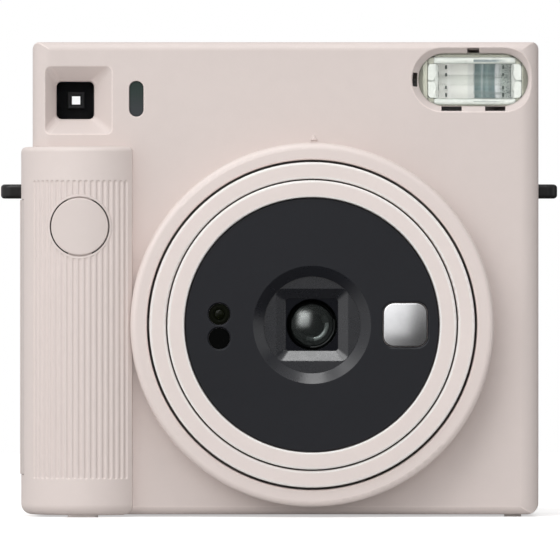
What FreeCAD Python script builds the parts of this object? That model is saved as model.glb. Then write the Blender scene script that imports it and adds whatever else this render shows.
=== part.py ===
import FreeCAD, Part
import math
import os

# Square-format instant camera, millimetres.
# X runs across the camera, +X is the flash side; -Y is the front; +Z is up.
# Origin: centre of the overall box in plan, on the plane the feet stand on.

V = FreeCAD.Vector

# ---------------------------------------------------------------- driving dimensions
BODY_XL, BODY_XR = -62.1, 65.4        # casing side walls
BODY_YF, BODY_YP, BODY_YB = -18.5, 4.0, 28.75   # front face, parting line, back face
BODY_Z0, BODY_Z1 = 0.6, 119.5         # underside and top
WALL = 2.0
SIDE_R, TOP_R, CORNER_R = 4.6, 2.0, 1.8

LX, LZ = 8.27, 48.35                  # lens axis
DRUM_R, DRUM_BORE, DRUM_Y = 45.6, 41.4, -27.3
RING_RO, RING_RI, RING_Y = 40.8, 36.6, -28.3
BARREL_R, BARREL_Y, BARREL_BACK = 36.25, -28.75, -11.0
BARREL_WALL = 1.6
PLATE_R, PLATE_POCKET = 31.85, 32.05
LENS_TRAVEL, RING_TURN = 10.0, 80.0

GRIP_CX, GRIP_CY, GRIP_R = -48.05, -11.5, 17.0
GRIP_XR, GRIP_TOP = -36.8, 93.1
GRIP_XL = GRIP_CX - GRIP_R            # -65.05
GRIP_WALL = 1.8
RIB_COUNT, RIB_PITCH, RIB_Z0, RIB_Z1 = 18, 1.51, 10.0, 84.3
RIB_R, RIB_DEPTH = 0.62, 0.30

BTN_X, BTN_Z, BTN_R, BTN_HOLE = -50.0, 73.0, 7.20, 7.52
BTN_TRAVEL = 1.2

VF_X, VF_Z = -51.35, 104.85           # viewfinder window centre
FL_X, FL_Z, FL_L, FL_H = 48.9, 110.05, 31.3, 16.3   # flash recess

CH_X0, CH_X1, CH_Z0, CH_Z1 = -31.2, 47.8, 8.0, 100.8   # film chamber inside
FILM_Y, CH_YB = 7.0, 25.8

DOOR_X0, DOOR_AX, DOOR_Z0, DOOR_Z1 = -34.0, 53.0, 5.0, 102.0
DOOR_T = 2.4
DOOR_AY = BODY_YB - DOOR_T / 2.0      # hinge axis of the film door

BD_AX, BD_AY, BD_Z0, BD_Z1 = -64.3, 1.6, 10.7, 79.8    # battery door hinge axis and ends
BD_XO, BD_T, BD_Y0 = -65.3, 1.6, -16.4

MODULE = 0.6
Z_ROLL, Z_IDLER, Z_PINION = 12, 24, 10
ROLL_Z, ROLL_R = 106.0, 3.45
ROLL_Y = (7.0 - 3.6, 7.0 + 3.6)
IDLER_Y, IDLER_Z = -5.95, 100.6
PINION_Y, PINION_Z = -5.95, 90.4
GEAR_X0, GEAR_X1 = -36.2, -33.7

LUG_Y, LUG_Z, LUG_T = -3.4, 82.0, 3.6


# ---------------------------------------------------------------- helpers
def box(x0, x1, y0, y1, z0, z1):
    return Part.makeBox(x1 - x0, y1 - y0, z1 - z0, V(x0, y0, z0))


def cyl_y(x, z, r, y0, y1):
    return Part.makeCylinder(r, y1 - y0, V(x, y0, z), V(0, 1, 0))


def cyl_z(x, y, r, z0, z1):
    return Part.makeCylinder(r, z1 - z0, V(x, y, z0), V(0, 0, 1))


def cyl_x(y, z, r, x0, x1):
    return Part.makeCylinder(r, x1 - x0, V(x0, y, z), V(1, 0, 0))


def cone_y(x, z, r0, r1, y0, y1):
    return Part.makeCone(r0, r1, y1 - y0, V(x, y0, z), V(0, 1, 0))


def ring_y(x, z, ro, ri, y0, y1):
    return cyl_y(x, z, ro, y0, y1).cut(cyl_y(x, z, ri, y0 - 1, y1 + 1))


def fuse(first, *rest):
    s = first
    for r in rest:
        s = s.fuse(r)
    return s.removeSplitter()


def cut(s, *tools):
    for t in tools:
        s = s.cut(t)
    return s


def rr_wire(u0, u1, v0, v1, r, place):
    """Closed rounded-rectangle wire. r is one radius or four: (u0v0, u1v0, u1v1, u0v1)."""
    if not isinstance(r, (list, tuple)):
        r = (r, r, r, r)
    a, b, c, d = r
    k = 1.0 - math.sqrt(0.5)
    edges = []

    def line(p, q):
        if (q - p).Length > 1e-6:
            edges.append(Part.LineSegment(p, q).toShape())

    def arc(p, m, q, rad):
        if rad > 1e-6:
            edges.append(Part.Arc(p, m, q).toShape())

    P = place
    line(P(u0 + a, v0), P(u1 - b, v0))
    arc(P(u1 - b, v0), P(u1 - b * k, v0 + b * k), P(u1, v0 + b), b)
    line(P(u1, v0 + b), P(u1, v1 - c))
    arc(P(u1, v1 - c), P(u1 - c * k, v1 - c * k), P(u1 - c, v1), c)
    line(P(u1 - c, v1), P(u0 + d, v1))
    arc(P(u0 + d, v1), P(u0 + d * k, v1 - d * k), P(u0, v1 - d), d)
    line(P(u0, v1 - d), P(u0, v0 + a))
    arc(P(u0, v0 + a), P(u0 + a * k, v0 + a * k), P(u0 + a, v0), a)
    return Part.Wire(edges)


def prism_y(x0, x1, z0, z1, r, y0, y1):
    w = rr_wire(x0, x1, z0, z1, r, lambda u, v: V(u, y0, v))
    return Part.Face(w).extrude(V(0, y1 - y0, 0))


def prism_z(x0, x1, y0, y1, r, z0, z1):
    w = rr_wire(x0, x1, y0, y1, r, lambda u, v: V(u, v, z0))
    return Part.Face(w).extrude(V(0, 0, z1 - z0))


def prism_x(y0, y1, z0, z1, r, x0, x1):
    w = rr_wire(y0, y1, z0, z1, r, lambda u, v: V(x0, u, v))
    return Part.Face(w).extrude(V(x1 - x0, 0, 0))


def funnel_y(a, b):
    """Solid between two rounded rectangles, each (x0, x1, z0, z1, r, y)."""
    ws = [rr_wire(q[0], q[1], q[2], q[3], q[4], (lambda yy: (lambda u, v: V(u, yy, v)))(q[5]))
          for q in (a, b)]
    return Part.makeLoft(ws, True, True)


def fillet_where(s, r, test):
    es = [e for e in s.Edges if test(e)]
    if not es:
        raise RuntimeError("no edges to round")
    return s.makeFillet(r, es)


def at_y(e, y, tol=1e-4):
    bb = e.BoundBox
    return abs(bb.YMin - y) < tol and abs(bb.YMax - y) < tol


def at_z(e, z, tol=1e-4):
    bb = e.BoundBox
    return abs(bb.ZMin - z) < tol and abs(bb.ZMax - z) < tol


def spring_z(x, y, z0, z1, r, wire, turns):
    """Compression spring about a vertical axis, plain coils stacked as tori."""
    parts = []
    pitch = (z1 - z0 - wire) / float(turns - 1)
    for i in range(turns):
        parts.append(Part.makeTorus(r, wire / 2.0, V(x, y, z0 + wire / 2.0 + i * pitch), V(0, 0, 1)))
    post = cyl_z(x + r, y, wire * 0.35, z0 + wire / 2.0, z1 - wire / 2.0)
    return fuse(parts[0], *(parts[1:] + [post]))


def spring_y(x, z, y0, y1, r, wire, turns):
    parts = []
    pitch = (y1 - y0 - wire) / float(turns - 1)
    for i in range(turns):
        parts.append(Part.makeTorus(r, wire / 2.0, V(x, y0 + wire / 2.0 + i * pitch, z), V(0, 1, 0)))
    post = cyl_y(x, z + r, wire * 0.35, y0 + wire / 2.0, y1 - wire / 2.0)
    return fuse(parts[0], *(parts[1:] + [post]))


def gear_x(teeth, m, y, z, x0, x1, bore, phase=0.0):
    """Spur gear about an X-wise axis; straight-flanked teeth with running backlash."""
    rp = m * teeth / 2.0
    ro, rr = rp + 0.92 * m, rp - 1.18 * m
    pts = []
    step = 2 * math.pi / teeth
    # half angles of a tooth at root, pitch and tip
    hr, hp, ht = step * 0.300, step * 0.225, step * 0.105
    for i in range(teeth):
        c = phase + i * step
        for (rad, off) in ((rr, -hr), (rp, -hp), (ro, -ht), (ro, ht), (rp, hp), (rr, hr)):
            a = c + off
            pts.append(V(x0, y + rad * math.cos(a), z + rad * math.sin(a)))
    pts.append(pts[0])
    g = Part.Face(Part.makePolygon(pts)).extrude(V(x1 - x0, 0, 0))
    if bore > 0:
        g = g.cut(cyl_x(y, z, bore, x0 - 1, x1 + 1))
    return g


NODES = {}


def put(name, shape):
    NODES[name] = shape


# ---------------------------------------------------------------- casing envelope
def envelope(inset, yf, yb):
    """Rounded casing volume, shrunk by inset on every side."""
    i = inset
    x0, x1, z0, z1 = BODY_XL + i, BODY_XR - i, BODY_Z0 + i, BODY_Z1 - i
    sr, tr, cr = max(SIDE_R - i, 0.6), max(TOP_R - i, 0.6), max(CORNER_R - i, 0.6)
    br = max(4.0 - i, 0.6)
    a = prism_z(x0, x1, yf, yb, (sr, sr, br, br), z0, z1)
    b = prism_x(yf, yb, z0, z1, (tr, br, br, tr), x0, x1)
    c = prism_y(x0, x1, z0, z1, (cr, max(3.0 - i, 0.6), cr, cr), yf, yb)
    return a.common(b).common(c)


OUT = envelope(0.0, BODY_YF, BODY_YB)
INN = envelope(WALL, BODY_YF + WALL, BODY_YB - WALL)
HALF_F = box(-80, 80, -60, BODY_YP, -5, 130)
HALF_R = box(-80, 80, BODY_YP, 60, -5, 130)

# ---------------------------------------------------------------- front cover
front = OUT.common(HALF_F).cut(INN)
drum = cyl_y(LX, LZ, DRUM_R, DRUM_Y, BODY_YF + WALL)
drum = fillet_where(drum, 1.5, lambda e: at_y(e, DRUM_Y))
front = fuse(front, drum)
# thicker frame behind the viewfinder recess and the flash recess
front = fuse(front,
             box(-60.5, -40.6, BODY_YF + WALL - 0.2, -13.0, 95.2, 114.6).common(envelope(0.5, BODY_YF, BODY_YB)),
             box(31.6, 64.6, BODY_YF + WALL - 0.2, -14.4, 100.4, 117.8).common(envelope(0.5, BODY_YF, BODY_YB)))
front = front.cut(cyl_y(LX, LZ, DRUM_BORE, -40, -10))
front = fillet_where(front, 0.5, lambda e: at_y(e, DRUM_Y) and e.Length > 100 and
                     abs(e.BoundBox.XMax - (LX + DRUM_BORE)) < 0.05)
# viewfinder recess: sloped funnel down to the window
front = front.cut(funnel_y((-59.1, -41.9, 96.2, 113.5, 1.4, BODY_YF - 0.1),
                           (-56.05, -46.65, 100.15, 109.55, 1.3, -14.2)))
front = front.cut(box(-56.95, -45.75, -14.2, -12.0, 99.25, 110.45))
# metering window slot beside it
front = front.cut(prism_y(-37.72, -34.08, 100.7, 109.7, 1.8, -25, -10))
# flash recess: shallow sloped wall round a through opening
front = front.cut(funnel_y((FL_X - FL_L / 2, FL_X + FL_L / 2, FL_Z - FL_H / 2, FL_Z + FL_H / 2, 8.1, BODY_YF - 0.02),
                           (FL_X - 13.8, FL_X + 13.8, FL_Z - 6.6, FL_Z + 6.6, 6.5, -16.7)))
front = front.cut(prism_y(FL_X - 13.8, FL_X + 13.8, FL_Z - 6.6, FL_Z + 6.6, 6.5, -16.8, -15.9))
front = front.cut(prism_y(FL_X - 14.45, FL_X + 14.45, FL_Z - 7.0, FL_Z + 7.0, 6.9, -16.0, -10))
front = front.cut(prism_y(FL_X - FL_L / 2, FL_X + FL_L / 2, FL_Z - FL_H / 2, FL_Z + FL_H / 2, 8.1, -22, BODY_YF))
for (cx0, cx1, cz0, cz1) in ((47.4, 50.4, 116.6, 118.05), (33.45, 34.85, 108.3, 111.8),
                             (40.9, 46.0, 101.95, 103.3), (51.9, 57.0, 101.95, 103.3)):
    front = front.cut(box(cx0, cx1, -18.2, -14.0, cz0, cz1))
# index mark above the drum
tri = Part.Face(Part.makePolygon([V(LX - 0.25, BODY_YF + 0.3, 94.75), V(LX + 1.35, BODY_YF + 0.3, 94.75),
                                  V(LX + 0.55, BODY_YF + 0.3, 96.05), V(LX - 0.25, BODY_YF + 0.3, 94.75)])
                ).extrude(V(0, -0.6, 0))
front = fuse(front, tri)
# the casing is open behind the grip, so the cells and the release sit inside it
front = front.cut(box(-63, -38.2, -20, 1.4, 3.0, 91.0))
put("front_cover", front)

# ---------------------------------------------------------------- grip cover
def grip_solid(off, z0, z1, y_end, top_r, bot_r):
    r = GRIP_R - off
    xl, xr = GRIP_CX - r, GRIP_XR - off
    dy = math.sqrt(r * r - (xr - GRIP_CX) ** 2)
    b = V(xr, GRIP_CY - dy, z0)
    crest = V(GRIP_CX, GRIP_CY - r, z0)
    c = V(xl, GRIP_CY, z0)
    d = V(xl, y_end, z0)
    e = V(-61.2, y_end, z0)
    f = V(-61.2, -17.4, z0)
    a = V(xr, -17.4, z0)
    segs = [Part.LineSegment(a, b).toShape(), Part.Arc(b, crest, c).toShape(),
            Part.LineSegment(c, d).toShape(), Part.LineSegment(d, e).toShape(),
            Part.LineSegment(e, f).toShape(), Part.LineSegment(f, a).toShape()]
    s = Part.Face(Part.Wire(segs)).extrude(V(0, 0, z1 - z0))
    if top_r > 0:
        def outer(e2, z):
            bb = e2.BoundBox
            return at_z(e2, z) and not (abs(bb.YMax + 17.4) < 1e-3 and abs(bb.YMin + 17.4) < 1e-3) \
                and not (abs(bb.XMin + 61.2) < 1e-3 and abs(bb.XMax + 61.2) < 1e-3)
        vert = [e2 for e2 in s.Edges if e2.BoundBox.ZLength > 50 and
                (abs(e2.BoundBox.XMin - xr) < 1e-3 and e2.BoundBox.YMin < -20)]
        vert2 = [e2 for e2 in s.Edges if e2.BoundBox.ZLength > 50 and
                 abs(e2.BoundBox.XMin - xl) < 1e-3 and abs(e2.BoundBox.YMin - y_end) < 1e-3]
        s = s.makeFillet(0.5, vert + vert2)
        s = s.makeFillet(top_r, [e2 for e2 in s.Edges if outer(e2, z1)])
        s = s.makeFillet(bot_r, [e2 for e2 in s.Edges if outer(e2, z0)])
    return s


G_OUT = grip_solid(0.0, BODY_Z0, GRIP_TOP, BODY_YP, 1.3, 2.6)
G_IN = grip_solid(GRIP_WALL, BODY_Z0 + GRIP_WALL, GRIP_TOP - GRIP_WALL, BODY_YP - GRIP_WALL, 0, 0)
grip = G_OUT.cut(G_IN)
# release-button guide collar
collar = cyl_y(BTN_X, BTN_Z, 9.0, -27.6, -23.6).common(grip_solid(0.6, BODY_Z0 + 1, GRIP_TOP - 1, 3, 0, 0))
grip = fuse(grip, collar)
grip = grip.cut(OUT.common(HALF_F))
grip = grip.cut(cyl_y(LX, LZ, DRUM_R + 0.03, -40, 0))
grip = grip.cut(cyl_y(BTN_X, BTN_Z, BTN_HOLE, -40, -20))
# vertical finger ribs
groove_r = GRIP_R - RIB_DEPTH + RIB_R
tools = []
clear = cyl_y(BTN_X, BTN_Z, BTN_HOLE + 0.55, -40, 0)
# grooves start at the right-hand end of the arc
a_right = math.acos((-38.2 - GRIP_CX) / groove_r)
for i in range(RIB_COUNT):
    ang = a_right + i * RIB_PITCH / GRIP_R
    gx, gy = GRIP_CX + groove_r * math.cos(ang), GRIP_CY - groove_r * math.sin(ang)
    prof = Part.makePolygon([V(0, 0, RIB_Z0 - 0.5), V(RIB_R * 0.6, 0, RIB_Z0 - 0.4), V(RIB_R, 0, RIB_Z0),
                             V(RIB_R, 0, RIB_Z1), V(RIB_R * 0.6, 0, RIB_Z1 + 0.4), V(0, 0, RIB_Z1 + 0.5),
                             V(0, 0, RIB_Z0 - 0.5)])
    t = Part.Face(prof).revolve(V(0, 0, 0), V(0, 0, 1), 360)
    t.rotate(V(0, 0, 0), V(0, 0, 1), -math.degrees(ang))
    t.translate(V(gx, gy, 0))
    if abs(gx - BTN_X) < BTN_HOLE + 0.55 + RIB_R:
        t = t.cut(clear)
    tools.append(t)
grip = grip.cut(Part.makeCompound(tools))
# battery door opening in the side, and the round seat of its hinge
grip = grip.cut(box(-67, -62.0, BD_Y0 - 0.15, BD_AY, BD_Z0 - 0.15, BD_Z1 + 0.15))
grip = grip.cut(cyl_z(BD_AX, BD_AY, 1.3, BD_Z0 - 0.15, BD_Z1 + 0.15))
grip = grip.cut(cyl_z(BD_AX, BD_AY, 0.5, BD_Z0 - 2.2, BD_Z1 + 2.2))
# slot for the strap lug
grip = grip.cut(box(-66, -60, LUG_Y - 2.7, LUG_Y + 2.7, LUG_Z - LUG_T / 2, LUG_Z + LUG_T / 2))
put("grip_cover", grip)

# ---------------------------------------------------------------- battery door
bd = G_OUT.common(box(-67, -60, BD_Y0, BD_AY, BD_Z0, BD_Z1))
bd_in = grip_solid(1.35, 3, 90, 3.0, 0, 0)
bd = bd.cut(bd_in)
skin = box(BD_XO, BD_XO + 0.6, -11.9, BD_AY, BD_Z0, BD_Z1)
bd = fuse(bd, skin, cyl_z(BD_AX, BD_AY, 1.0, BD_Z0, BD_Z1))
# finger grip grooves near the front edge
for i in range(5):
    bd = bd.cut(box(BD_XO - 1, BD_XO + 0.35, -10.4 + i * 1.6, -9.6 + i * 1.6, 38.0, 52.0))
bd = bd.cut(cyl_z(BD_AX, BD_AY, 0.55, BD_Z0 - 1, BD_Z1 + 1))
# inner stiffening rib that presses on the cells
bd = fuse(bd, box(-63.95, -62.6, -9.4, -7.4, 16.0, 70.0))
put("battery_door", bd)
put("battery_door_hinge_pin", cyl_z(BD_AX, BD_AY, 0.5, BD_Z0 - 2.0, BD_Z1 + 2.0))

# ---------------------------------------------------------------- release button
btn = cyl_y(BTN_X, BTN_Z, BTN_R, -32, -25.0).common(
    cyl_z(GRIP_CX, GRIP_CY, GRIP_R + 0.12, BTN_Z - 10, BTN_Z + 10))
btn = fuse(btn, cyl_y(BTN_X, BTN_Z, 6.2, -25.4, -22.6), box(BTN_X - 3.0, BTN_X + 3.0, -23.3, -22.6, BTN_Z - 8.5, BTN_Z + 8.5),
           cyl_y(BTN_X, BTN_Z, 1.2, -22.7, -21.9))
btn = btn.cut(ring_y(BTN_X, BTN_Z, 5.0, 1.9, -25.0, -22.0))
es = [e for e in btn.Edges if e.BoundBox.YMax < -25.5 and e.Length > 30 and e.BoundBox.XLength > 14]
try:
    btn = btn.makeFillet(0.35, es)
except Exception:
    pass
put("shutter_button", btn)
put("shutter_button_spring", spring_y(BTN_X, BTN_Z, -23.7, -20.5, 3.45, 0.4, 4))
switch = fuse(box(BTN_X - 6.5, BTN_X + 6.5, -20.5, -19.3, BTN_Z - 6.5, BTN_Z + 6.5),
              box(BTN_X - 3.0, BTN_X + 3.0, -20.5, -19.3, BTN_Z - 6.5, BTN_Z + 8.5))
put("shutter_switch", switch)

# ---------------------------------------------------------------- battery compartment
bx0, bx1, by0, by1 = -61.8, -44.6, -17.3, 0.1
bat = box(bx0, bx1, by0, by1, 12.2, 71.4)
bat = bat.cut(box(bx0 - 1, bx1 - 1.0, by0 + 0.8, by1 - 0.8, 13.4, 70.2))
bat = bat.cut(box(bx0 - 1, -60.3, by0 + 0.4, by1 - 0.4, 13.0, 70.6))
bat = fuse(bat, box(BTN_X - 4.0, BTN_X + 4.0, -19.3, by0, 67.0, 71.4),
           box(-46.0, -39.5, by1 - 3.0, by1, 40.0, 46.0), box(-46.0, -39.5, by1 - 3.0, by1, 16.0, 22.0))
put("battery_box", bat)
cy_b, cx_b = -8.6, -53.6
cells = []
for (z0, z1) in ((14.6, 41.3), (42.3, 69.0)):
    c = cyl_z(cx_b, cy_b, 7.75, z0, z1 - 0.9)
    c = fillet_where(c, 0.5, lambda e: at_z(e, z0) or at_z(e, z1 - 0.9))
    c = fuse(c, cyl_z(cx_b, cy_b, 3.1, z1 - 1.0, z1))
    cells.append(c)
put("battery_cells", Part.makeCompound(cells))
contacts = [box(cx_b - 6, cx_b + 6, cy_b - 5, cy_b + 5, 13.4, 13.8),
            spring_z(cx_b, cy_b, 13.8, 14.6, 3.0, 0.35, 2),
            box(cx_b - 6, cx_b + 6, cy_b - 5, cy_b + 5, 69.4, 70.2)]
contacts[0] = fuse(contacts[0], contacts[1])
put("battery_contacts", Part.makeCompound([contacts[0], fuse(contacts[2], cyl_z(cx_b, cy_b, 2.0, 69.0, 69.6))]))

# ---------------------------------------------------------------- rear cover
rear = OUT.common(HALF_R).cut(INN)
# eyepiece rim, counter boss, latch keeper
rear = fuse(rear, prism_y(VF_X - 7.2, VF_X + 7.2, VF_Z - 7.2, VF_Z + 7.2, 2.0, 24.6, 27.0))
rear = rear.cut(prism_y(VF_X - 4.6, VF_X + 4.6, VF_Z - 4.6, VF_Z + 4.6, 1.2, 20, 40))
rear = rear.cut(prism_y(VF_X - 5.4, VF_X + 5.4, VF_Z - 5.4, VF_Z + 5.4, 1.6, 26.9, 40))
# film door opening with a round seat for the hinge
rear = rear.cut(box(DOOR_X0 - 0.3, DOOR_AX, 22, 40, DOOR_Z0 - 0.3, DOOR_Z1 + 0.3))
rear = rear.cut(cyl_z(DOOR_AX, DOOR_AY, 1.55, DOOR_Z0 - 0.3, DOOR_Z1 + 0.3))
rear = rear.cut(box(DOOR_AX - 1, DOOR_AX + 1.8, DOOR_AY, 40, DOOR_Z0 - 0.3, DOOR_Z1 + 0.3))   # swing relief
for (hz0, hz1) in ((BODY_Z0 + 1.2, DOOR_Z0 - 0.3), (DOOR_Z1 + 0.3, DOOR_Z1 + 3.4)):
    rear = fuse(rear, box(DOOR_AX - 2.2, DOOR_AX + 2.2, 25.2, 27.6, hz0, hz1))
rear = rear.cut(cyl_z(DOOR_AX, DOOR_AY, 0.7, DOOR_Z0 - 2.2, DOOR_Z1 + 2.2))
rear = fuse(rear, box(-37.6, -34.5, 24.4, 27.0, 46.0, 60.0))
# print exit slot along the parting line
rear = rear.cut(box(LX - 40, LX + 40, 3.0, 9.6, 115, 122))
# counter window and its dial boss
DIAL_X, DIAL_Z = 20.0, 109.4
rear = fuse(rear, cyl_y(DIAL_X, DIAL_Z, 1.0, 21.9, 26.9), cyl_y(DIAL_X, DIAL_Z, 2.4, 24.9, 26.9))
rear = rear.cut(prism_y(DIAL_X - 2.6, DIAL_X + 2.6, DIAL_Z + 1.9, DIAL_Z + 6.3, 0.8, 24, 40))
rear = rear.cut(prism_y(DIAL_X - 3.2, DIAL_X + 3.2, DIAL_Z + 1.3, DIAL_Z + 6.9, 1.2, 27.8, 40))
# screw bosses and counterbores
SCREWS = ((-56.5, 8.5, 3.2), (59.5, 8.5, 3.2), (59.5, 96.0, 3.2), (-54.5, 114.3, 2.6))
for (sx, sz, sr) in SCREWS:
    rear = fuse(rear, cyl_y(sx, sz, sr + 0.1, 20.0, 27.0).common(OUT))
    rear = cut(rear, cyl_y(sx, sz, 2.2, 26.0, 40), cyl_y(sx, sz, 1.2, 15, 40))
put("rear_cover", rear)
screws = []
for (sx, sz, sr) in SCREWS:
    s = fuse(cyl_y(sx, sz, 1.2, 12.0, 26.2), cyl_y(sx, sz, 2.0, 26.0, 27.6))
    s = fillet_where(s, 0.3, lambda e: at_y(e, 27.6))
    s = cut(s, box(sx - 1.2, sx + 1.2, 26.9, 28, sz - 0.25, sz + 0.25),
            box(sx - 0.25, sx + 0.25, 26.9, 28, sz - 1.2, sz + 1.2))
    screws.append(s)
put("case_screws", Part.makeCompound(screws))
# front-cover posts that take the screws
posts = NODES["front_cover"]
for ((sx, sz, sr), y_start) in zip(SCREWS, (-10.0, -16.8, -16.8, -13.4)):
    p = cyl_y(sx, sz, sr, y_start, 19.9)
    if y_start == -10.0:
        p = p.fuse(box(sx - 0.8, sx + 0.8, -10.0, BODY_YP, BODY_Z0 + 1.0, sz))
    if y_start == -13.4:
        p = p.fuse(box(sx - 0.8, sx + 0.8, -13.4, BODY_YP, sz, BODY_Z1 - 1.0))
    p = p.cut(cyl_y(sx, sz, 1.2, 11.5, 30))
    posts = posts.fuse(p.common(OUT))
posts = posts.removeSplitter()
NODES["front_cover"] = posts

# ---------------------------------------------------------------- film door
fd = box(DOOR_X0, DOOR_AX, BODY_YB - DOOR_T, BODY_YB, DOOR_Z0, DOOR_Z1)
fd = fillet_where(fd, 0.5, lambda e: at_y(e, BODY_YB) and e.BoundBox.XMax < DOOR_AX - 1 or
                  (at_y(e, BODY_YB) and e.BoundBox.XLength > 20))
fd = fuse(fd, cyl_z(DOOR_AX, DOOR_AY, DOOR_T / 2, DOOR_Z0, DOOR_Z1))
rim = box(CH_X0 + 0.6, CH_X1 - 0.8, 24.3, BODY_YB - DOOR_T + 0.1, CH_Z0 + 0.6, CH_Z1 - 0.6).cut(
    box(CH_X0 + 1.8, CH_X1 - 2.0, 20, 30, CH_Z0 + 1.8, CH_Z1 - 1.8))
fd = fuse(fd, rim)
fd = fd.cut(cyl_z(DOOR_AX, DOOR_AY, 0.65, DOOR_Z0 - 1, DOOR_Z1 + 1))
# thumb bulge line, window and latch pocket
fd = fd.cut(prism_y(16.0, 22.0, 60.0, 82.0, 1.5, 20, 40))
fd = fd.cut(prism_y(-32.4, -22.6, 44.6, 61.4, 1.8, BODY_YB - 1.1, 40))
fd = fd.cut(box(-29.1, -25.6, 20, 40, 48.0, 59.4))
fd = fd.cut(box(CH_X0 + 0.5, CH_X0 + 1.9, 20, BODY_YB - DOOR_T, 45.6, 60.4))
put("film_door", fd)
win = prism_y(16.1, 21.9, 60.1, 81.9, 1.4, 26.9, 28.3)
put("film_door_window", win)
put("film_door_hinge_pin", cyl_z(DOOR_AX, DOOR_AY, 0.6, DOOR_Z0 - 2.0, DOOR_Z1 + 2.0))
pads = []
for pz in (30.0, 78.0):
    pads.append(fuse(prism_y(LX - 14.0, LX + 6.0, pz - 7, pz + 7, 2.0, 23.4, 24.6),
                     box(LX - 11, LX - 8, 24.5, BODY_YB - DOOR_T, pz - 2, pz + 2),
                     box(LX + 0, LX + 3, 24.5, BODY_YB - DOOR_T, pz - 2, pz + 2)))
put("film_pressure_pads", Part.makeCompound(pads))

# latch: thumb piece outside, hook plate inside the door
lat = prism_y(-31.4, -23.6, 45.6, 56.4, 1.2, BODY_YB - 1.0, BODY_YB - 0.1)
for i in range(4):
    lat = lat.cut(box(-30.4, -24.6, BODY_YB - 0.45, BODY_YB + 1, 48.0 + i * 1.9, 48.8 + i * 1.9))
lat = fuse(lat, box(-28.7, -26.3, 25.6, BODY_YB - 0.9, 49.0, 53.0),
           box(-30.2, -23.5, 25.0, 26.15, 47.4, 54.6), box(-34.0, -30.0, 25.0, 26.15, 49.4, 52.6))
put("door_latch", lat)
put("door_latch_spring", spring_z(-26.9, 25.55 - 0.0, 54.75, 59.4, 0.95, 0.3, 6))
# seat for the spring's upper end on the door
NODES["film_door"] = fuse(NODES["film_door"], box(-28.6, -25.2, 24.4, BODY_YB - DOOR_T + 0.1, 59.4, 60.6))

# ---------------------------------------------------------------- light seals on the chamber edge
seal = box(CH_X0 - 1.7, CH_X1 + 1.7, CH_YB, CH_YB + 0.4, CH_Z0 - 1.6, CH_Z1 + 1.3).cut(
    box(CH_X0 - 0.3, CH_X1 + 0.3, 20, 30, CH_Z0 - 0.3, CH_Z1 + 0.3))
seal = seal.cut(box(-36, -30, 20, 30, 45.0, 61.0))
put("light_seals", seal)

# ---------------------------------------------------------------- chassis
ch = box(CH_X0 - 2.0, CH_X1 + 2.0, FILM_Y - 2.0, CH_YB, CH_Z0 - 2.0, CH_Z1 + 1.7)
ch = ch.cut(box(CH_X0, CH_X1, FILM_Y, 40, CH_Z0, CH_Z1))
ch = ch.cut(box(LX - 32, LX + 32, 0, 10, LZ - 32, LZ + 32))
ch = ch.cut(box(LX - 37.5, LX + 37.5, FILM_Y, FILM_Y + 2.2, 99, 105))          # print path upward
ch = ch.cut(box(CH_X0 - 3, CH_X0 + 0.1, 22.0, 40, 45.4, 60.6))                 # latch notch
ch = ch.cut(box(CH_X0 - 3, CH_X0 + 0.1, 8.6, 12.6, 14.0, 70.0))                # film claw slot
put("chassis", ch)

# film claw: hooked slider on the outside of the chamber wall
claw = fuse(box(-34.3, -33.5, 9.0, 12.2, 20.0, 52.0), box(-34.3, -30.6, 9.2, 10.2, 20.0, 21.4))
put("film_claw", claw)

# ---------------------------------------------------------------- light tunnel
def pyramid(h0, y0, h1, y1):
    return Part.makeLoft([rr_wire(LX - h, LX + h, LZ - h, LZ + h, 0.8, (lambda yy: (lambda u, v: V(u, yy, v)))(y))
                          for (h, y) in ((h0, y0), (h1, y1))], True, True)


tun = pyramid(11.0, -8.5, 33.6, 4.9).cut(pyramid(9.6, -8.6, 32.2, 5.0))
tun = fuse(tun, box(LX - 35.5, LX + 35.5, 3.7, 5.0, LZ - 35.5, LZ + 35.5).cut(
    box(LX - 31.8, LX + 31.8, 0, 10, LZ - 31.8, LZ + 31.8)))
put("light_tunnel", tun)

# ---------------------------------------------------------------- guide sleeve of the lens barrel
slv = ring_y(LX, LZ, 38.4, 36.55, -24.4, -11.0)
slv = fuse(slv, ring_y(LX, LZ, 43.0, 36.55, -12.4, -11.0))
for (px, pz) in ((1, 0), (-1, 0), (0, 1), (0, -1)):
    slv = fuse(slv, cyl_y(LX + px * 40.3, LZ + pz * 40.3, 2.0, -11.2, FILM_Y - 2.0))
for k in range(3):
    a = math.radians(90 + 120 * k)
    c = V(LX + 37.5 * math.cos(a), -24.5, LZ + 37.5 * math.sin(a))
    slot = Part.makeBox(2.2, 10.9 + 1.2, 6.0, V(-1.1, 0, -3.0))
    slot.Placement = FreeCAD.Placement(V(c.x, -24.5, c.z), FreeCAD.Rotation(V(0, 1, 0), 90 - math.degrees(a)))
    slv = slv.cut(slot)
put("guide_sleeve", slv)

# ---------------------------------------------------------------- lens ring (turns)
rg = ring_y(LX, LZ, RING_RO, RING_RI, RING_Y, -25.0)
rg = fuse(rg, ring_y(LX, LZ, RING_RO, 38.75, -25.2, -14.8), ring_y(LX, LZ, 43.0, 38.75, -16.1, -14.8))
rg = fillet_where(rg, 0.45, lambda e: at_y(e, RING_Y))
put("lens_ring", rg)

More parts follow.
